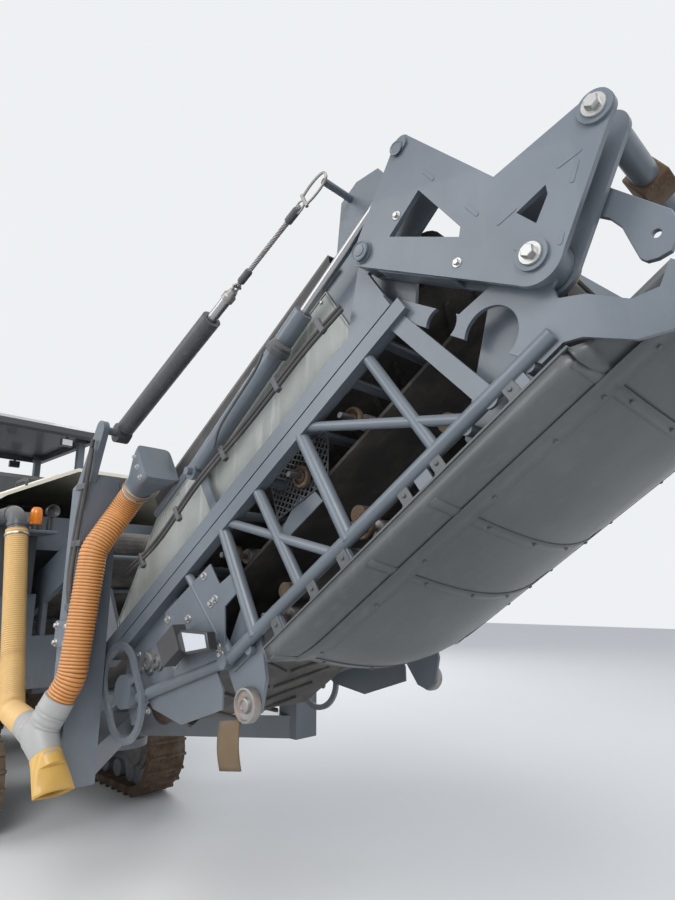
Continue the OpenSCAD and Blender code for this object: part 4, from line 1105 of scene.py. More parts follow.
@dataclass
class SuctionHoses:
    """Two ribbed suction hoses and the junction where they meet on the yoke."""

    d: float = 0.13
    port: Point = (-1.62, -0.62, 0.3)
    junction: Point = (2.25, -0.896, 0.893)
    left_route: Tuple[Point, ...] = ((1.19, -0.74, 1.88), (1.39, -0.745, 1.13), (1.62, -0.802, 0.9))
    right_route: Tuple[Point, ...] = ((2.341, -0.765, 1.7), (2.347, -0.816, 1.13))
    bend: float = 0.175
    flap_drop: float = 0.14
    flap_bow: float = 0.012
    flap_round: float = 0.41

    def _rounded(self, corners: Sequence[Vector]) -> List[Vector]:
        """Corners joined by arcs of the bend's radius, as the frame's hoses are."""
        route = [corners[0]]
        for a, b, c in zip(corners, corners[1:], corners[2:]):
            u, v = (b - a).normalized(), (c - b).normalized()
            turn = u.angle(v)
            cut = self.bend * tan(turn / 2)
            inward = (v - u).normalized()
            centre = b + inward * (self.bend / cos(turn / 2))
            start, axis = b - u * cut - centre, u.cross(v).normalized()
            steps = max(3, round(turn / 0.08))
            route += [centre + Matrix.Rotation(turn * k / steps, 3, axis) @ start for k in range(steps + 1)]
        return route + [corners[-1]]

    def build(self) -> None:
        """Hoses, clamps, tape and the junction."""
        junction = Vector(self.junction)
        port = BOOM.at(*self.port)
        along = (BOOM.at(1, 0, 0) - BOOM.at(0, 0, 0)).normalized()
        left = [Vector(p) for p in self.left_route]
        right = [Vector(p) for p in self.right_route]
        left_end = junction + 0.15 * (left[-1] - junction).normalized()
        right_end = junction + 0.12 * (right[-1] - junction).normalized()
        left_line = self._rounded(left + [left_end])
        right_line = self._rounded([port - 0.0003 * along, port - 0.12 * along] + right + [right_end])
        hose = Piping.ribbed("hose_left_ribbed", left_line, self.d, 0.0125, 0.0035, Finish.TAN)
        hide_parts("hose_left")
        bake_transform(hose)
        hose = Piping.ribbed("hose_right_ribbed", right_line, self.d, 0.015, 0.0045, Finish.ORANGE)
        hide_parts("hose_right")
        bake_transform(hose)
        self._clamps(right_line, left_line)
        self._junction(junction, left_end, right_end)

    def _clamps(self, right: List[Vector], left: List[Vector]) -> None:
        """Steel bands round the hoses' ends."""
        r = self.d / 2
        for name, line, body, along in (("hose_clamps_top", right, REAR, 0.016),
                                        ("hose_clamps_pipe", left, "chassis", 0.025)):
            way = (line[1] - line[0]).normalized()
            at = line[0] + way * along
            band = Shape().turned(at, way, [
                (r - 0.004, 0), (r + 0.004, 0.001), (r + 0.005, 0.004), (r + 0.005, 0.011),
                (r + 0.004, 0.014), (r - 0.004, 0.015)], 40)
            ear = at + way * 0.007 + way.cross(Vector((0, 1, 0))).normalized() * (r + 0.007)
            band.rod(ear - Vector((0, 0.016, 0)), ear + Vector((0, 0.012, 0)), 0.01, 8)
            band.piece(name, Finish.ZINC, body)

    def _junction(self, at: Vector, left_end: Vector, right_end: Vector) -> None:
        """The wrapped Y piece, its outlet and the cloth flap that hangs from it."""
        r = self.d / 2
        wrap = Shape()
        for end, spare in ((left_end, 0.06), (right_end, 0.05)):
            way = (end - at).normalized()
            reach = (end - at).length
            profile = [(r * 0.95, -0.02)]
            rows = 16
            for k in range(rows + 1):
                x = reach * k / rows
                profile.append((r + 0.004 + 0.0022 * (k % 2) + 0.002 * sin(k * 2.1), x))
            profile += [(r + 0.005, reach + spare), (r - 0.002, reach + spare + 0.002)]
            wrap.turned(at, way, profile, 32)
        outlet = Vector((2.4, -0.872, 0.715))
        way = (outlet - at).normalized()
        wrap.turned(at, way, [(0.02, -0.06), (r + 0.012, -0.03), (r + 0.014, 0.02), (r, 0.09),
                              (r - 0.006, 0.15)], 32)
        wrap.piece("hose_junction_wrap", Finish.TAPE, "yoke", crease=50, replaces=("hose_junction",))
        hem = Shape()
        reach = (outlet - at).length
        hem.turned(at, way, [(r - 0.01, 0.12), (r - 0.001, 0.125), (r - 0.001, reach - 0.064),
                             (r - 0.012, reach - 0.06), (r - 0.02, reach - 0.06), (r - 0.02, 0.125)], 32)
        hem.piece("hose_outlet", Finish.FLAP, "yoke")
        self._flap(at, way)

    def _flap(self, at: Vector, way: Vector) -> None:
        """A flat cloth sleeve that hangs open under the outlet."""
        top, side = at + way * 0.105, way.cross(Vector((0, 0, 1))).normalized()
        out = side.cross(way).normalized()
        rows = []
        for k in range(15):
            t = k / 14
            row = []
            for j in range(33):
                a = 2 * pi * j / 32
                squeeze = 1 - 0.72 * t ** 0.8
                r = self.d / 2 + 0.002 + 0.012 * t
                spread = 1 + 0.22 * t
                p = top + way * (self.flap_drop * t) + Vector((0, 0, -0.03 * t ** 2))
                ripple = 0.005 * t * sin(3 * a + 4 * t)
                row.append(p + side * (cos(a) * r * spread + ripple)
                           + out * (sin(a) * r * squeeze + ripple))
            rows.append(row)
        shape = Shape()
        shape.grid(rows)
        bmesh.ops.remove_doubles(shape.mesh, verts=shape.mesh.verts, dist=1e-5)
        bmesh.ops.recalc_face_normals(shape.mesh, faces=shape.mesh.faces)
        flap = shape.piece("hose_flap", Finish.FLAP, "yoke", wall=0.0015, crease=60)


# ---- fold levers

def both_sides(points: Points, y: float) -> List[Point]:
    """Points (s, n) at y and at -y, as boom points."""
    return [(s, side * y, n) for side in (-1, 1) for s, n in points]


def outward(points: Sequence[Point]) -> List[Place]:
    """Places at boom points, facing away from the middle plane."""
    return [(p, (0.0, copysign(1.0, p[1]), 0.0), (1.0, 0.0, 0.0)) for p in points]


def stadium(a: Sequence[float], b: Sequence[float], r: float, steps: int = 6) -> List[Pair]:
    """The outline of a slot from a to b."""
    turn = atan2(b[1] - a[1], b[0] - a[0])
    outline = []
    for centre, start in ((b, turn - pi / 2), (a, turn + pi / 2)):
        outline += [(centre[0] + r * cos(start + pi * k / steps),
                     centre[1] + r * sin(start + pi * k / steps)) for k in range(steps + 1)]
    return outline


def mesh_in(outline: Points, y: float, pitch: float, turn: float) -> List[List[Point]]:
    """Parallel wires cut to an outline.

    Args:
        outline: Corners as (s, n) pairs.
        y: The plane of the wires.
        pitch: Distance between wires.
        turn: Their direction in radians.

    Returns:
        One chain of two points for each wire.
    """
    along, across = (cos(turn), sin(turn)), (-sin(turn), cos(turn))
    local = [(p[0] * along[0] + p[1] * along[1], p[0] * across[0] + p[1] * across[1]) for p in outline]
    low, high = min(p[1] for p in local), max(p[1] for p in local)
    chains = []
    row = low + pitch / 2
    while row < high:
        cuts = sorted(a[0] + (row - a[1]) * (b[0] - a[0]) / (b[1] - a[1])
                      for a, b in zip(local, local[1:] + local[:1]) if (a[1] - row) * (b[1] - row) < 0)
        for start, end in zip(cuts[::2], cuts[1::2]):
            chains.append([(u * along[0] + row * across[0], y, u * along[1] + row * across[1])
                           for u in (start, end)])
        row += pitch
    return chains


@dataclass
class FoldGear:
    """Hardware of the two cranked levers and of their cylinders."""

    face_y: float = 0.626
    pivot: Pair = (0.0, 0.0)
    truss_pin: Pair = (0.363, -0.569)
    cross_tube: Pair = (0.726, -0.398)
    rod_eye: Pair = (0.32, 0.177)
    small_bolts: Pairs = ((0.169, -0.026), (0.207, -0.375))
    welds: Tuple[Tuple[float, ...], ...] = (
        (0.328, -0.003, 0.329, -0.058), (0.34, -0.254, 0.342, -0.31), (0.363, -0.399, 0.419, -0.411),
        (0.569, -0.433, 0.628, -0.452), (0.603, -0.471, 0.561, -0.501), (0.347, -0.509, 0.352, -0.52),
        (0.449, -0.596, 0.43, -0.61))

    def build(self) -> None:
        """Pins, rings, welds and the cylinders' fittings."""
        self._pins()
        self._welds()
        self._cylinders()

    def _pins(self) -> None:
        """Bolt heads, washers and rings on the levers' pins."""
        heads = both_sides((self.truss_pin, self.cross_tube), self.face_y + 0.012)
        Fixings.bolts("lever_pin_bolts", outward(heads), "lever_set", 0.036)
        Fixings.bolts("lever_small_bolts", outward(both_sides(self.small_bolts, self.face_y)), "lever_set",
                      0.017)
        rings = Shape(True)
        for s, y, n in both_sides((self.pivot,), self.face_y + 0.0125):
            out = (0, copysign(1, y), 0)
            rings.turned((s, y, n), out, [
                (0.036, 0), (0.036, 0.006), (0.03, 0.008), (0.03, 0.006), (0.022, 0.006), (0.02, 0.01),
                (0.012, 0.01), (0, 0.007)], 28)
        for s, y, n in both_sides((self.rod_eye,), self.face_y + 0.008):
            out = (0, copysign(1, y), 0)
            rings.turned((s, y, n), out, [
                (0.026, 0), (0.026, 0.004), (0.021, 0.005), (0.019, 0.003), (0, 0.003)], 24)
        rings.piece("lever_pin_rings", Finish.BOOM, "lever_set")
        bushes = Shape(True)
        for s, y, n in both_sides((self.truss_pin,), 0.484):
            out = (0, copysign(1, y), 0)
            bushes.turned((s, y, n), out, [
                (0.062, 0), (0.078, 0.002), (0.08, 0.006), (0.08, 0.01), (0.074, 0.014), (0.074, 0.018),
                (0.06, 0.02)], 32)
        bushes.piece("lever_bushes", Finish.BRASS, "lever_set")
        blocks = Shape(True)
        s, n = self.cross_tube
        for side in (-1, 1):
            blocks.box((s - 0.05, side * 0.14, n - 0.05), (s + 0.05, side * 0.26, n + 0.05))
        blocks.piece("cross_tube_blocks", Finish.WORN, "lever_set", edge=0.006)

    def _welds(self) -> None:
        """Plug welds where the spacers meet the outer plates."""
        beads = Shape(True)
        for a0, a1, b0, b1 in self.welds:
            for side in (-1, 1):
                beads.plate(stadium((a0, a1), (b0, b1), 0.0065), side * (self.face_y - 0.001),
                            side * (self.face_y + 0.0018))
        beads.piece("lever_welds", Finish.BOOM, "lever_set", edge=0.001)

    def _cylinders(self) -> None:
        """Gland nuts and the thin pipe along each barrel."""
        glands = Shape(True)
        for side in (-1, 1):
            at, end = Vector((-0.545, side * 0.59, 0.096)), Vector((-0.43, side * 0.59, 0.107))
            glands.turned(at, end - at, [
                (0.03, 0), (0.05, 0.004), (0.05, 0.03), (0.044, 0.034), (0.044, 0.046), (0.03, 0.05)], 28)
        pipe = [[(-0.56, side * 0.652, 0.09), (-0.64, side * 0.655, 0.06), (-0.902, side * 0.655, 0.034),
                 (-1.01, side * 0.64, 0.0)] for side in (-1, 1)]
        glands.piece("fold_glands", Finish.DARK, "fold_barrel_pair")
        Piping.plain("fold_pipes", [curve_through(line) for line in pipe], 0.012, Finish.DARK,
                     "fold_barrel_pair", 10, True)


# ---- folded front half

@dataclass
class TrussGear:
    """What sits in and on the folded half's truss."""

    near: int = -1
    high_idlers: Pairs = ((-0.454, -0.346), (-0.781, -0.34), (-1.285, -0.346))
    low_idlers: Pairs = ((-0.001, -0.706), (-0.635, -0.706), (-1.183, -0.706))
    second_plate: Pairs = (
        (0.29, -0.6), (0.29, -0.48), (0.42, -0.455), (0.54, -0.455), (0.614, -0.485), (0.638, -0.597),
        (0.659, -0.693), (0.64, -0.75), (0.585, -0.779), (0.552, -0.767), (0.531, -0.75), (0.526, -0.729),
        (0.541, -0.676), (0.558, -0.619), (0.556, -0.568), (0.54, -0.525), (0.46, -0.56), (0.38, -0.6))
    lamp_plate: Pairs = (
        (-1.324, -0.366), (-1.311, -0.475), (-1.191, -0.489), (-1.224, -0.57), (-1.323, -0.571),
        (-1.416, -0.734), (-1.763, -0.625), (-1.764, -0.431), (-1.705, -0.348), (-1.493, -0.358))
    lamp_plate_bolts: Pairs = (
        (-1.38, -0.386), (-1.36, -0.512), (-1.394, -0.511), (-1.561, -0.473), (-1.45, -0.645),
        (-1.435, -0.682), (-1.433, -0.716), (-1.734, -0.586), (-1.699, -0.389))

    def build(self) -> None:
        """Idlers, plates, mesh, the lamp, the head's bearings and the wheels."""
        self._idlers()
        self._plates()
        self._guard_mesh()
        self._lamp()
        self._head()
        self._wheels()

    def _idlers(self) -> None:
        """Belt idlers with rusty end rings."""
        drums, ends, axles = Shape(True), Shape(True), Shape(True)
        for s, n in self.high_idlers + self.low_idlers:
            drums.turned((s, -0.425, n), (0, 1, 0), [
                (0.02, 0), (0.031, 0.002), (0.033, 0.006), (0.033, 0.844), (0.031, 0.848),
                (0.02, 0.85)], 24)
            axles.rod((s, -0.556, n), (s, 0.556, n), 0.024, 14, 0.002)
            for side in (-1, 1):
                ends.turned((s, side * 0.47, n), (0, side, 0),
                            [(0.014, 0), (0.042, 0.002), (0.045, 0.006), (0.045, 0.022), (0.041, 0.026),
                             (0.034, 0.026), (0.031, 0.012), (0.02, 0.01), (0.018, 0.022),
                             (0.014, 0.022)], 28)
        drums.piece("front_idlers", Finish.STEEL, FRONT)
        axles.piece("front_idler_axles", Finish.DARK, FRONT)
        ends.piece("front_idler_ends", Finish.WORN, FRONT)

    def _plates(self) -> None:
        """The inner gusset at the hinge, the lamp's plate and its bolts."""
        plates = Shape(True)
        for side in (-1, 1):
            plates.plate(self.second_plate, side * 0.461, side * 0.481, [(0.595, -0.712, 0.012)])
        plates.piece("hinge_inner_gussets", Finish.BOOM, FRONT, edge=0.002)
        plate = Shape(True).plate(self.lamp_plate, self.near * 0.587, self.near * 0.595)
        plate.piece("lamp_plate", Finish.BOOM, FRONT, edge=0.0015)
        bolts = [(s, self.near * 0.596, n) for s, n in self.lamp_plate_bolts]
        Fixings.bolts("lamp_plate_bolts", outward(bolts), FRONT, 0.018)
        gusset = Shape(True)
        gusset.plate([(-1.021, -0.425), (-0.854, -0.37), (-0.841, -0.41), (-0.777, -0.408),
                      (-0.762, -0.477), (-1.023, -0.47)], -0.458, -0.45)
        gusset.piece("idler_gusset", Finish.BOOM, FRONT, edge=0.0015)

    def _guard_mesh(self) -> None:
        """The guard mesh beside the belt."""
        guard = [(-0.942, -0.154), (-0.584, -0.266), (-0.694, -0.429), (-1.004, -0.375)]
        wires = mesh_in(guard, -0.46, 0.022, 0.5) + mesh_in(guard, -0.46, 0.022, -0.9)
        rim = [(s, -0.46, n) for s, n in guard + guard[:1]]
        Piping.plain("belt_guard_mesh", wires + [rim], 0.0075, Finish.DARK, REAR, 6, True)

    def _lamp(self) -> None:
        """The work lamp's head, its lens and the light tube."""
        face = self.near * 0.676
        head = Shape(True).plate([(-1.566, -0.552), (-1.522, -0.548), (-1.376, -0.648), (-1.39, -0.716),
                                  (-1.53, -0.652), (-1.566, -0.61)], self.near * 0.634, face)
        head.piece("work_lamp_head", Finish.BLACK, FRONT, edge=0.004)
        lens = Shape(True).plate([(-1.518, -0.562), (-1.388, -0.652), (-1.399, -0.702), (-1.526, -0.643)],
                                 face, self.near * 0.68)
        lens.piece("work_lamp_lens", Finish.LENS, FRONT, edge=0.001)
        tube = Shape(True)
        a, b = Vector((-2.06, self.near * 0.53, -0.562)), Vector((-1.5, self.near * 0.53, -0.712))
        tube.rod(a, b, 0.034, 20, 0.004)
        tube.piece("light_tube", Finish.LENS, FRONT)
        caps = Shape(True)
        way = (b - a).normalized()
        for at, turn in ((a, 1), (b, -1)):
            caps.rod(at - way * turn * 0.012, at + way * turn * 0.035, 0.042, 20, 0.003)
            caps.rod(at + way * turn * 0.02, at + way * turn * 0.02 + Vector((0, self.near * 0.03, 0)),
                     0.012, 10)
        caps.piece("light_tube_ends", Finish.BLACK, FRONT)

    def _head(self) -> None:
        """Bearings, hub caps and bolts on the head plates."""
        housing = Shape(True)
        for side in (-1, 1):
            for s, n, r in ((-1.977, -0.435, 0.055), (-1.907, -0.478, 0.036)):
                housing.turned((s, side * 0.55, n), (0, side, 0),
                               [(r, 0), (r, 0.01), (r * 0.72, 0.014), (r * 0.62, 0.024), (r * 0.35, 0.026),
                                (r * 0.33, 0.02), (0, 0.02)], 28)
        housing.piece("head_bearings", Finish.DARK, FRONT)
        bolts = both_sides(((-2.054, -0.354), (-2.058, -0.426), (-2.084, -0.542), (-2.088, -0.61),
                            (-1.977, -0.392), (-1.977, -0.478)), 0.552)
        Fixings.bolts("head_bolts", outward(bolts), FRONT, 0.018)

    def _wheels(self) -> None:
        """Steel support wheels with hubs, and the rubber strap beside the near one."""
        wheels = Shape(True)
        for side in (-1, 1):
            wheels.turned((-1.41, side * 0.5505, -0.937), (0, side, 0),
                          [(0.026, 0), (0.058, 0), (0.062, 0.003), (0.064, 0.007), (0.064, 0.03),
                           (0.062, 0.035), (0.054, 0.036), (0.05, 0.028), (0.03, 0.026), (0.026, 0.037),
                           (0.02, 0.039), (0.018, 0.034), (0, 0.034)], 36)
        wheels.piece("support_wheels_turned", Finish.STEEL, "wheel_pair", replaces=("support_wheels",))
        rows = []
        for k in range(9):
            t = k / 8
            a, b = Vector((-1.6, -0.56, -0.905)), Vector((-1.481, -0.56, -0.96))
            down = Vector((-0.087, 0.0, -0.15)) * t
            bow = Vector((0, -0.012 * sin(pi * t), 0))
            rows.append([a.lerp(b, j / 6) + down + bow * (1 + 0.2 * sin(j)) for j in range(7)])
        strap = Shape(True).grid(rows)
        flap = strap.piece("rear_strap", Finish.STRAP, FRONT, wall=0.006, crease=60)


# ---- rear half

@dataclass
class SideTarps:
    """Tarpaulins stretched over the rear half's sides."""

    low_n: float = -0.148
    top_n: float = 0.176
    s_rear: float = -2.248
    s_slant: float = -1.7
    s_front: float = -0.252

    def top_at(self, s: float) -> float:
        """Height of the upper edge at s."""
        if s > self.s_slant:
            return self.top_n
        share = (s - self.s_rear) / (self.s_slant - self.s_rear)
        return -0.06 + (self.top_n + 0.06) * share

    def build(self) -> None:
        """One sheet for each side with its hems and clips."""
        for side, name in ((-1, "right"), (1, "left")):
            rows = []
            for k in range(85):
                s = self.s_rear + (self.s_front - self.s_rear) * k / 84
                top, row = self.top_at(s), []
                for j in range(25):
                    t = j / 24
                    n = self.low_n + (top - self.low_n) * t
                    sag = sin(pi * t) * (0.6 + 0.4 * cos((s + 1.69) / 0.51 * 2 * pi))
                    pulls = sin(9 * s + 5 * t) * sin(23 * s - 7 * t) * 0.9
                    y = 0.5018 - 0.0026 * sag + 0.0016 * pulls * sin(pi * t) ** 0.5
                    row.append((s, side * y, n))
                rows.append(row if side < 0 else row[::-1])
            sheet = Shape(True).grid(rows).piece("tarp_" + name, Finish.CANVAS, REAR,
                                                 wall=0.0014, crease=70)
            if name == "right":
                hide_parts("rear_tarps")
            self._hems(side, name)

    def _hems(self, side: int, name: str) -> None:
        """A corded hem round each sheet and its fixing buttons."""
        y = side * 0.5052
        border = [(self.s_rear, self.low_n), (self.s_rear, -0.06), (self.s_slant, self.top_n),
                  (self.s_front, self.top_n), (self.s_front, self.low_n), (self.s_rear, self.low_n)]
        line = []
        for a, b in zip(border, border[1:]):
            line += [(a[0] + (b[0] - a[0]) * k / 12, y, a[1] + (b[1] - a[1]) * k / 12) for k in range(12)]
        Piping.plain("tarp_hem_" + name, [line + [(border[0][0], y, border[0][1])]], 0.007, Finish.CANVAS,
                     REAR, 8, True)
        places = [(self.s_front - 0.04 - 0.148 * k, self.top_n - 0.014) for k in range(10)]
        places += [(self.s_rear + 0.06 + 0.19 * k, self.low_n + 0.016) for k in range(11)]
        places = outward([(s, y, n) for s, n in places])
        Spread.make("tarp_buttons_" + name, Fixings.dome(), places, Finish.ZINC, REAR, 0.016, True)


@dataclass
class LiftGear:
    """Piston rods, fittings, wire ropes and shackles that lift the conveyor."""

    y: float = 0.664
    foot: Pair = (2.32, 2.3)
    angle: float = 26.366
    length: float = 1.633
    barrel: float = 0.86
    fitting: float = 0.12
    rope_d: float = 0.022
    bow: Pairs = ((-0.105, 0.024), (-0.06, 0.031), (-0.014, 0.03), (0.018, 0.02), (0.027, 0.0))

    def at(self, along: float, side: int, across: float = 0.0, out: float = 0.0) -> Point:
        """A point at a distance along the strut, square above it and outwards."""
        c, s = cos(radians(self.angle)), sin(radians(self.angle))
        return (self.foot[0] + along * c - across * s, side * (self.y + out),
                self.foot[1] + along * s + across * c)

    def build(self) -> None:
        """Both sides."""
        rods, forks, collars = Shape(), Shape(), Shape()
        start, pin = self.barrel + self.fitting, self.length
        for side in (-1, 1):
            rods.rod(self.at(self.barrel - 0.64, side), self.at(start + 0.008, side), 0.048, 28, 0.002)
            way = Vector(self.at(1, side)) - Vector(self.at(0, side))
            forks.turned(self.at(start - 0.002, side), way,
                         [(0.02, 0), (0.029, 0.003), (0.029, 0.03), (0.022, 0.038), (0.018, 0.06),
                          (0.01, 0.064)], 20)
            for out in (-0.011, 0.011):
                forks.rod(self.at(start + 0.046, side, 0, out), self.at(start + 0.092, side, 0, out),
                          0.011, 10, 0.001)
            forks.rod(self.at(start + 0.08, side, 0, -0.021), self.at(start + 0.08, side, 0, 0.021),
                      0.013, 12, 0.001)
            loop = [self.at(pin - 0.116 + 0.028 * cos(a) - 0.018, side, 0.021 * sin(a))
                    for a in (2 * pi * k / 20 for k in range(21))]
            forks.tube(loop, 0.009, 8)
            bow = [self.at(pin + along, side, -across) for along, across in self.bow]
            bow += [self.at(pin + along, side, across) for along, across in self.bow[-2::-1]]
            forks.tube(curve_through(bow, 4), 0.011, 10)
            forks.rod(self.at(pin - 0.103, side, -0.036), self.at(pin - 0.103, side, 0.036),
                      0.015, 12, 0.001)
            for place in (start + 0.105, pin - 0.215):
                collars.turned(self.at(place, side), way, [
                    (0.011, 0), (0.016, 0.004), (0.017, 0.01), (0.017, 0.062), (0.015, 0.07),
                    (0.011, 0.074)], 20)
        rods.piece("lift_piston_rods", Finish.CHROME, "lift_rod_pair", replaces=("lift_rods",))
        forks.piece("lift_shackles", Finish.STEEL, "lift_rod_pair")
        collars.piece("lift_rope_sleeves", Finish.DARK, "lift_rod_pair")
        self._ropes(start + 0.088, pin - 0.13)

    def _ropes(self, start: float, end: float) -> None:
        """Six strands laid round a core, from fitting to thimble."""
        strands, steps = [], 110
        for side in (-1, 1):
            strands.append([self.at(start, side), self.at(end, side)])
            for k in range(6):
                line = []
                for j in range(steps + 1):
                    along = start + (end - start) * j / steps
                    a = 2 * pi * (along / 0.11 + k / 6)
                    r = self.rope_d * 0.3
                    line.append(self.at(along, side, r * cos(a), r * sin(a)))
                strands.append(line)
        Piping.plain("lift_ropes", strands, self.rope_d * 0.36, Finish.ROPE, "lift_rod_pair", 6)


@dataclass
class SuctionDuct:
    """The duct on the belt cover that turns from the hose's round port to a square foot."""

    port: Point = (-1.62, -0.62, 0.3)
    low: Point = (-1.619, -0.6995, 0.192)
    high: Point = (-1.422, -0.5215, 0.398)

    def build(self) -> None:
        """The duct, its collar and the bolts round its foot."""
        middle = [(a + b) / 2 for a, b in zip(self.low, self.high)]
        half = [(b - a) / 2 for a, b in zip(self.low, self.high)]
        rows = []
        for k in range(13):
            t = k / 12
            ease = t * t * (3 - 2 * t)
            power = 2 / (2 + 6 * ease)
            row = []
            for j in range(41):
                a = 2 * pi * j / 40
                c, d = cos(a), sin(a)
                u, v = copysign(abs(c) ** power, c), copysign(abs(d) ** power, d)
                wide, tall = 0.062 + (half[1] - 0.062) * ease, 0.062 + (half[2] - 0.062) * ease
                row.append((self.low[0] + 2 * half[0] * t,
                            self.port[1] + (middle[1] - self.port[1]) * ease + wide * u,
                            self.port[2] + (middle[2] - self.port[2]) * ease + tall * v))
            rows.append(row)
        duct = Shape(True).grid(rows)
        bmesh.ops.remove_doubles(duct.mesh, verts=duct.mesh.verts, dist=1e-5)
        bmesh.ops.holes_fill(duct.mesh, edges=duct.mesh.edges)
        bmesh.ops.recalc_face_normals(duct.mesh, faces=duct.mesh.faces)
        duct.piece("suction_duct", Finish.BOOM, REAR, crease=40, replaces=("suction_box",))
        rim = Shape(True).turned((self.low[0], self.port[1], self.port[2]), (1, 0, 0),
                                 [(0.05, 0), (0.07, 0.001), (0.07, 0.01), (0.062, 0.012)], 36)
        rim.piece("suction_duct_rim", Finish.ZINC, REAR)
        s = self.low[0] + 0.15
        bolts = [((s, middle[1] + side * (half[1] - 0.003), n), (0.0, float(side), 0.0), (1.0, 0.0, 0.0))
                 for side in (-1, 1) for n in (0.23, 0.295, 0.36)]
        Fixings.bolts("suction_duct_bolts", bolts, REAR, 0.014)


@dataclass
class RearPiping:
    """Hydraulic hoses along the rear half."""

    route: Pairs = ((-1.9, 0.01), (-1.591, -0.032), (-1.201, -0.012), (-0.802, -0.034), (-0.42, -0.04),
                    (-0.19, -0.06))

    def build(self) -> None:
        """Two hoses on each rail and their clips."""
        lines = [[(s, side * 0.6125, n - drop) for s, n in self.route] for side in (-1, 1)
                 for drop in (0.0, 0.02)]
        Piping.plain("rail_hoses", [curve_through(line) for line in lines], 0.016, Finish.RUBBER,
                     REAR, 10, True)
        clips = Shape(True)
        for side in (-1, 1):
            for s in (-1.75, -1.4, -1.0, -0.6, -0.3):
                clips.box((s - 0.012, side * 0.601, -0.075), (s + 0.012, side * 0.6225, -0.002))
        clips.piece("rail_hose_clips", Finish.DARK, REAR, edge=0.003)


# ---- body and stand

@dataclass
class Beacon:
    """The beacon, the horn and their bracket at the body's front."""

    base_z: float = 1.9

    def build(self) -> None:
        """Bracket, amber beacon and black horn."""
        low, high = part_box("lamps")
        bracket = Shape().box((low[0], -0.64, 1.88), (high[0], -0.47, 1.9))
        bracket.piece("beacon_bracket", Finish.BOOM, "chassis", edge=0.004, replaces=("lamps",))
        foot = Shape().turned((1.09, -0.6, self.base_z), (0, 0, 1), [
            (0.03, 0), (0.041, 0.002), (0.041, 0.03), (0.037, 0.036), (0.02, 0.036)], 32)
        foot.turned((1.06, -0.5, self.base_z), (0, 0, 1), [(0.02, 0), (0.02, 0.1), (0.012, 0.104)], 20)
        foot.turned((1.036, -0.5, self.base_z + 0.13), (1, 0, 0),
                    [(0, 0), (0.03, 0.001), (0.034, 0.006), (0.034, 0.03), (0.022, 0.036), (0.018, 0.046),
                     (0.03, 0.062), (0.043, 0.07), (0.04, 0.071), (0.016, 0.05), (0, 0.048)], 32)
        foot.piece("horn_and_beacon_foot", Finish.BLACK, "chassis")
        dome = Shape().turned((1.09, -0.6, self.base_z + 0.035), (0, 0, 1),
                              [(0.036, 0), (0.038, 0.004), (0.0385, 0.07), (0.034, 0.095), (0.022, 0.11),
                               (0, 0.115)], 40)
        dome.piece("beacon_dome", Finish.AMBER, "chassis")


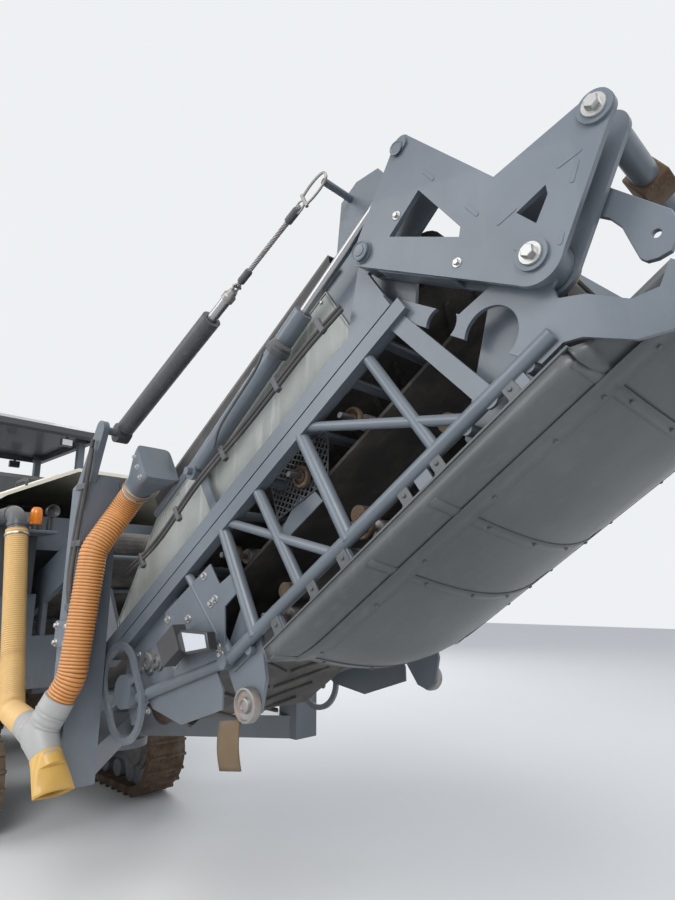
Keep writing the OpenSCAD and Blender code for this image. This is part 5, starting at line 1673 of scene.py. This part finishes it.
@dataclass
class Seats:
    """Two driver's seats with padded cushions and backs."""

    x: float = -2.25
    y: float = 0.56
    z: float = 1.75
    arm: Tuple[Point, ...] = ((-0.18, 0.23, 0.4), (-0.185, 0.248, 0.48), (-0.17, 0.25, 0.548),
                              (-0.1, 0.25, 0.558), (0.11, 0.25, 0.556))

    @staticmethod
    def pad(size: Sequence[float], crown: float) -> Shape:
        """A crowned cushion round the origin whose sides pull in between its corners."""
        shape = Shape().box([-c / 2 for c in size], [c / 2 for c in size])
        bmesh.ops.subdivide_edges(shape.mesh, edges=shape.mesh.edges, cuts=7, use_grid_fill=True)
        for v in shape.mesh.verts:
            u = [2 * v.co[k] / size[k] for k in range(3)]
            swell = (1 - u[0] ** 2) * (1 - u[1] ** 2)
            groove = 1 - 0.16 * (exp(-((abs(u[1]) - 0.52) / 0.07) ** 2) + exp(-((u[0]) / 0.07) ** 2))
            pinch = 1 - 0.07 * (1 - abs(u[2])) * (1 - max(abs(u[0]), abs(u[1])) ** 4) - 0.05 * u[2] ** 4
            v.co.x *= 1 - 0.03 * (1 - u[1] ** 2) * abs(u[0]) ** 3 - 0.05 * u[2] ** 4
            v.co.y *= 1 - 0.03 * (1 - u[0] ** 2) * abs(u[1]) ** 3 - 0.05 * u[2] ** 4
            v.co.z = v.co.z * 0.78 * groove * pinch + copysign(crown * swell, v.co.z) * groove
        return shape

    def build(self) -> None:
        """Bases, cushions, backs and arms."""
        frames, arms = Shape(), Shape()
        for side, name in ((-1, "right"), (1, "left")):
            at = Vector((self.x, side * self.y, self.z))
            frames.turned(at, (0, 0, 1), [
                (0.115, 0), (0.115, 0.012), (0.074, 0.018), (0.07, 0.16), (0.058, 0.165), (0.055, 0.318),
                (0.12, 0.326)], 32)
            frames.box(at + Vector((-0.2, -0.18, 0.318)), at + Vector((0.19, 0.18, 0.334)))
            for way in (-1, 1):
                arm = [at + Vector((x, way * y, z)) for x, y, z in self.arm]
                arms.tube(curve_through(arm, 5), 0.03, 12)
            cushion = self.pad((0.44, 0.43, 0.096), 0.012)
            cushion.mesh.transform(Matrix.Translation(at + Vector((-0.01, 0.0, 0.38))))
            self._upholster(cushion, "seat_cushion_" + name)
            back = self.pad((0.54, 0.41, 0.088), 0.01)
            back.mesh.transform(Matrix.Translation(at + Vector((-0.24, 0, 0.38)))
                                @ Matrix.Rotation(radians(-12), 4, "Y")
                                @ Matrix.Translation((-0.016, 0, 0.285))
                                @ Matrix.Rotation(radians(-90), 4, "Y"))
            self._upholster(back, "seat_back_" + name)
        frames.piece("seat_bases", Finish.DARK, "chassis", edge=0.002, replaces=("seats",))
        arms.piece("seat_arms", Finish.BLACK, "chassis")

    @staticmethod
    def _upholster(shape: Shape, name: str) -> None:
        bmesh.ops.recalc_face_normals(shape.mesh, faces=shape.mesh.faces)
        made = shape.piece(name, Finish.VINYL, "chassis", crease=80)
        smooth = made.modifiers.new("smooth", "SUBSURF")
        smooth.levels = smooth.render_levels = 1


# Each crawler's body, and the X and Y of its middle.
HUBS: Dict[str, Tuple[str, float, float]] = {
    "front_left": ("leg_fl", 0.06, 0.65), "front_right": ("leg_fr", 0.06, -0.65),
    "rear_left": ("leg_rl", -3.9, 0.95), "rear_right": ("leg_rr", -3.9, -0.95)}


@dataclass
class Crawlers:
    """Bolt heads on the shoes of the four crawlers."""

    shoe_count: int = 36
    lug: float = 0.022

    def build(self) -> None:
        """Eight bolt heads on every shoe."""
        for name, (body, x, y) in HUBS.items():
            low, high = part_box("track_" + name)
            hub_z = (low[2] + high[2]) / 2
            radius = (high[2] - low[2]) / 2 - self.lug
            run = (high[0] - low[0]) - 2 * self.lug - 2 * radius
            pitch = (2 * run + 2 * pi * radius) / self.shoe_count
            places = []
            for k in range(self.shoe_count):
                for part in (0.18, 0.75):
                    (px, pz), (nx, nz) = self.loop((k + part) * pitch, run, radius)
                    for off in (-0.085, -0.045, 0.045, 0.085):
                        places.append(((x + px, y + off, hub_z + pz), (nx, 0.0, nz), (0.0, 1.0, 0.0)))
            Spread.make("shoe_bolts_" + name, Fixings.dome(), places, Finish.WORN, body, 0.02)

    @staticmethod
    def loop(along: float, run: float, radius: float) -> Tuple[Pair, Pair]:
        """Point and outward way at a distance round the chain, from the rear of the lower run."""
        arc = pi * radius
        along %= 2 * run + 2 * arc
        if along < run:
            return (-run / 2 + along, -radius), (0.0, -1.0)
        if along < run + arc:
            a = -pi / 2 + (along - run) / radius
            return (run / 2 + radius * cos(a), radius * sin(a)), (cos(a), sin(a))
        if along < 2 * run + arc:
            return (run / 2 - (along - run - arc), radius), (0.0, 1.0)
        a = pi / 2 + (along - 2 * run - arc) / radius
        return (-run / 2 + radius * cos(a), radius * sin(a)), (cos(a), sin(a))


# ---- body panels

PANELLED: Tuple[str, ...] = ("main_frame", "engine_bay", "engine_hood", "water_tank", "platform")


def skin_of(name: str, x: float, z: float, side: int) -> float:
    """One node's outermost Y at a place, seen from one side."""
    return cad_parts[name].ray_cast((x, side * 3.0, z), (0, -side, 0))[1].y


def skin_at(x: float, z: float, side: int) -> float:
    """The machine's outermost Y at a place on one side, as the frame's nodes give it."""
    reach = [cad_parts[name].ray_cast((x, side * 3.0, z), (0, -side, 0)) for name in PANELLED]
    return side * max([side * hit[1].y for hit in reach if hit[0]] or [0.0])


@dataclass
class BodyTrim:
    """Doors, louvres, tread, handles, roof lamps and the console's controls."""

    doors: Tuple[Tuple[float, ...], ...] = (
        (-4.9, -4.33, 1.53, 1.735), (-4.29, -3.72, 1.53, 1.735), (-3.68, -3.11, 1.53, 1.735),
        (-1.23, -0.64, 1.56, 2.0), (-0.6, -0.01, 1.56, 2.0), (-1.23, -0.64, 1.06, 1.44),
        (-2.7, -2.33, 1.54, 1.69), (0.06, 0.42, 1.56, 2.0))
    deck_z: float = 1.75
    gauge: float = 0.004

    def build(self) -> None:
        """All of it."""
        self._doors()
        self._louvres()
        self._deck()
        self._handles()
        self._roof()
        self._console()

    def _doors(self) -> None:
        """Raised door panels, each with latches, where the body is flat enough."""
        panels, latches, bolts = Shape(), [], []
        for x0, x1, z0, z1 in self.doors:
            for side in (-1, 1):
                ys = [skin_at(x, z, side) for x in (x0, (x0 + x1) / 2, x1) for z in (z0, z1)]
                if max(ys) - min(ys) > 0.002 or abs(ys[0]) < 0.5:
                    continue
                r = 0.03
                outline = [(x0 + r, z0), (x1 - r, z0), (x1, z0 + r), (x1, z1 - r), (x1 - r, z1),
                           (x0 + r, z1), (x0, z1 - r), (x0, z0 + r)]
                y = ys[0] + side * self.gauge
                panels.plate(outline, ys[0] - side * 0.001, y)
                latches += outward([(x, y, (z0 + z1) / 2) for x in (x0 + 0.055, x1 - 0.055)])
                bolts += outward([(x, y, z) for x in (x0 + 0.022, x1 - 0.022)
                                  for z in (z0 + 0.022, z1 - 0.022)])
        panels.piece("body_doors", Finish.FRAME, "chassis", edge=0.0015)
        Spread.make("door_latches", Fixings.dome(), latches, Finish.BLACK, "chassis", 0.052)
        Spread.make("door_bolts", Fixings.hex_bolt(), bolts, Finish.DARK, "chassis", 0.012)

    def _louvres(self) -> None:
        """Pressed louvres on the hood's sides."""
        places = []
        for side in (-1, 1):
            for x in (-4.62, -4.4, -4.18, -3.96, -3.74, -3.52):
                for row in range(5):
                    z = 1.85 + row * 0.048
                    out = float(side)
                    places.append(((x, skin_at(x, z, side), z), (0.0, out, 0.0), (-out, 0.0, 0.0)))
        Spread.make("hood_louvres", Fixings.louvre(), places, Finish.FRAME, "hood", 0.18)

    def _deck(self) -> None:
        """Raised lozenges on the driver's deck."""
        places = []
        for i in range(25):
            for j in range(33):
                x, y = -2.8 + 0.06 * i, -0.99 + 0.062 * j
                if x < -1.66 and not (abs(abs(y) - 0.56) < 0.14 and abs(x + 2.25) < 0.14):
                    turn = radians(45 if (i + j) % 2 else -45)
                    places.append(((x, y, self.deck_z), (0, 0, 1), (cos(turn), sin(turn), 0)))
        Spread.make("deck_tread", Fixings.lozenge(), places, Finish.DARK, "chassis", 0.036)

    def _handles(self) -> None:
        """Grab handles on the hood and the cover, and the cover's ribs."""
        hood, cover = [], []
        for side in (-1, 1):
            for x in (-4.85, -3.3):
                y = skin_at(x, 1.9, side)
                hood.append([(x, y + side * out, z) for out, z in (
                    (-0.003, 1.85), (0.04, 1.87), (0.045, 1.9), (0.045, 2.0), (0.04, 2.03),
                    (-0.003, 2.05))])
            for x in (-1.05, 0.45):
                cover.append([(x + along, side * y, z) for along, y, z in (
                    (-0.1, 0.5, 2.255), (-0.09, 0.505, 2.315), (0.09, 0.505, 2.315), (0.1, 0.5, 2.255))])
        hood.append([(-4.976, -0.3, 1.99), (-4.9895, -0.28, 1.995), (-4.9895, 0.28, 1.995),
                     (-4.976, 0.3, 1.99)])
        Piping.plain("hood_handles", hood, 0.02, Finish.BLACK, "hood", 10)
        Piping.plain("cover_handles", [curve_through(line, 4) for line in cover], 0.018, Finish.BLACK,
                     "chassis", 10)
        ribs = Shape()
        for x in (-1.2, -0.78, -0.36, 0.06, 0.48):
            for side in (-1, 1):
                ribs.tube([(x, side * 0.262, 2.391), (x, side * 0.718, 2.162)], 0.02, 8)
        ribs.piece("cover_ribs", Finish.CREAM, "chassis")

    def _roof(self) -> None:
        """Work lamps under the roof's front and rear edges."""
        cases, lenses = Shape(), Shape()
        for x, way in ((-1.3, 1), (-2.92, -1)):
            for y in (-0.48, 0.48):
                a, b = sorted((x, x - way * 0.05))
                cases.box((a, y - 0.06, 3.052), (b, y + 0.06, 3.132))
                cases.box((a + 0.01, y - 0.012, 3.128), (b - 0.01, y + 0.012, 3.152))
                lenses.box((x, y - 0.052, 3.06), (x + way * 0.004, y + 0.052, 3.124))
        cases.piece("roof_lamp_cases", Finish.BLACK, "chassis", edge=0.006)
        lenses.piece("roof_lamp_lenses", Finish.LENS, "chassis", edge=0.001)

    def _console(self) -> None:
        """Screen, key pads and lever gaiters on the driver's console."""
        way = Vector((0.22, 0.0, 0.14)).normalized()
        out = Vector((-way.z, 0.0, way.x))
        base = Vector((-1.62, 0.0, 2.56))
        panel, keys = Shape(), []
        for y in (-0.18, 0.18):
            low = base + way * 0.05 + Vector((0, y, 0))
            panel.plate([(low.x, low.z), (low.x + way.x * 0.15, low.z + way.z * 0.15),
                         (low.x + way.x * 0.15 + out.x * 0.022, low.z + way.z * 0.15 + out.z * 0.022),
                         (low.x + out.x * 0.022, low.z + out.z * 0.022)], y - 0.11, y + 0.11)
        for y in range(-5, 6):
            for row in (0.21, 0.24):
                at = base + way * row + Vector((0, 0.05 * y, 0))
                keys.append((at, out, (0.0, 1.0, 0.0)))
        panel.piece("console_screens", Finish.BLACK, "chassis", edge=0.004)
        Spread.make("console_keys", Fixings.dome(), keys, Finish.LENS, "chassis", 0.018)
        gaiters = Shape()
        for side in (-1, 1):
            gaiters.turned((-1.56, side * 0.42, 2.598), (0, 0, 1),
                           [(0.04, 0), (0.042, 0.006), (0.033, 0.012), (0.034, 0.018), (0.026, 0.024),
                            (0.027, 0.03), (0.0185, 0.04), (0.0185, 0.078), (0.023, 0.086), (0.024, 0.094),
                            (0.0, 0.099)], 24)
        gaiters.piece("console_levers", Finish.BLACK, "chassis")


@dataclass
class Belts:
    """Cleats on the two conveyor belts, each with its ends, its middle's n and its radius."""

    pitch: float = 0.15
    loops: Tuple[Tuple[str, str, float, float, float, float], ...] = (
        ("front_belt_cleats", FRONT, -2.12, 0.235, -0.525, 0.14),
        ("rear_belt_cleats", REAR, -2.77, 0.11, -0.05, 0.095))

    def build(self) -> None:
        """Chevron cleats round both loops."""
        for name, body, s0, s1, n, r in self.loops:
            run = s1 - s0
            count = int((2 * run + 2 * pi * r) / self.pitch)
            places = []
            for k in range(count):
                (ps, pn), (ns, nn) = Crawlers.loop(k * (2 * run + 2 * pi * r) / count, run, r)
                for side in (-1, 1):
                    ahead = Vector((-nn * 0.5, side * 0.87, ns * 0.5))
                    places.append((((s0 + s1) / 2 + ps, side * 0.15, n + pn), (ns, 0.0, nn), ahead))
            Spread.make(name, Fixings.cleat(), places, Finish.BELT, body, 0.3, True)


@dataclass
class YokeHoses:
    """Black hydraulic hoses, their clips and the blocks on the slewing yoke."""

    def build(self) -> None:
        """Hoses with slack for slewing, clips, and two blocks with bolts."""
        loops = [[(2.21, -0.792, 1.36), (2.17, -0.8, 1.56), (2.19, -0.8, 1.8), (2.25, -0.8, 2.06),
                  (2.29, -0.796, 2.25)],
                 [(2.25, -0.792, 1.34), (2.215, -0.808, 1.54), (2.24, -0.808, 1.79), (2.285, -0.806, 2.02),
                  (2.3, -0.8, 2.2)]]
        Piping.plain("yoke_hoses", [curve_through(line) for line in loops], 0.02, Finish.RUBBER, "yoke", 10)
        clips = Shape()
        for z in (1.42, 1.72, 2.0):
            clips.box((2.185, -0.815, z), (2.29, skin_of("slew_yoke", 2.23, z, -1) + 0.002, z + 0.03))
        clips.piece("yoke_hose_clips", Finish.DARK, "yoke", edge=0.003)
        face = skin_of("slew_yoke", 2.2, 1.31, -1)
        blocks = Shape()
        blocks.box((2.115, face - 0.026, 1.25), (2.285, face + 0.002, 1.372))
        blocks.box((2.15, face - 0.018, 1.01), (2.25, face + 0.002, 1.13))
        blocks.piece("yoke_blocks", Finish.BOOM, "yoke", edge=0.006)
        heads = [((x, face - 0.027, z), (0, -1, 0), (1, 0, 0)) for x in (2.14, 2.26) for z in (1.272, 1.35)]
        Fixings.bolts("yoke_block_bolts", heads, "yoke", 0.02, False)


@dataclass
class Wheels:
    """Hub covers of the crawlers' drive wheels and idlers."""

    def build(self) -> None:
        """A stepped cover with bolts on each wheel's two ends."""
        for name, (body, x, y) in HUBS.items():
            low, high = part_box("track_" + name)
            hub_z = (low[2] + high[2]) / 2
            run = (high[0] - low[0]) - (high[2] - low[2])
            hubs, bolts = Shape(), []
            for end in (-1, 1):
                for side in (-1, 1):
                    at = Vector((x + end * run / 2, y + side * 0.0745, hub_z))
                    hubs.turned(at, (0, side, 0), [
                        (0.15, 0), (0.15, 0.012), (0.118, 0.02), (0.11, 0.048), (0.07, 0.056),
                        (0.062, 0.07), (0, 0.07)], 32)
                    bolts += [(at + Vector((0.132 * cos(a), side * 0.014, 0.132 * sin(a))),
                               (0.0, float(side), 0.0),
                               (1.0, 0.0, 0.0)) for a in (pi * k / 5 for k in range(10))]
            hubs.piece("hub_covers_" + name, Finish.DARK, body, edge=0.002)
            Spread.make("hub_bolts_" + name, Fixings.hex_bolt(), bolts, Finish.STEEL, body, 0.018)


# ---- frame's own nodes

@dataclass
class FrameFinishes:
    """Finishes of the nodes that come from the frame."""

    groups: Dict[Finish, Tuple[str, ...]] = field(default_factory=lambda: {
        Finish.CREAM: ("conveyor_cover",),
        Finish.ROOF: ("canopy_roof",),
        Finish.DARK: ("front_pods", "platform", "console", "ladders", "engine_block", "rear_grille",
            "suction_pipe", "side_plate_left", "side_plate_right", "scraper", "lift_barrels",
            "suction_box"),
        Finish.HOOD: ("dust_hood",),
        Finish.BOOM: ("fold_barrels", "rear_frame", "front_truss", "fold_levers", "head_guards",
            "slew_yoke"),
        Finish.BLACK: ("work_lamp",),
        Finish.RUBBER: ("seats", "belt_cover", "hose_junction"),
        Finish.BELT: ("primary_belt", "rear_belt", "front_belt"),
        Finish.WORN: ("rear_rollers", "front_rollers", "milling_drum", "exhaust", "track_front_left",
            "track_front_right", "track_rear_left", "track_rear_right"),
        Finish.STEEL: ("support_wheels",),
        Finish.CHROME: ("lift_rods", "fold_rods"),
        Finish.CANVAS: ("rear_tarps",),
        Finish.TAN: ("hose_left",),
        Finish.ORANGE: ("hose_right",),
        Finish.AMBER: ("lamps",)})

    def dress(self) -> None:
        """Give each node its finish, which is the frame's paint where no group names it."""
        finish = {name: finish for finish, names in self.groups.items() for name in names}
        for name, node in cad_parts.items():
            node.data.materials.clear()
            node.data.materials.append(finish.get(name, Finish.FRAME).material())
        LOG.info("dressed %d nodes of the frame", len(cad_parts))


def write_sizes() -> None:
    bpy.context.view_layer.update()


def main() -> None:
    """Build the stage, the finishes and every sub-assembly."""
    logging.basicConfig(level=logging.INFO, format="%(name)s: %(message)s")
    PhotoCamera().build()
    Studio().build()
    FrameFinishes().dress()
    for part in (DustHood, SuctionHoses, FoldGear, TrussGear, SideTarps, LiftGear, SuctionDuct, RearPiping,
                 Beacon, Seats, Crawlers, Wheels, BodyTrim, Belts, YokeHoses):
        part().build()
    write_sizes()


if __name__ == "__main__":
    main()
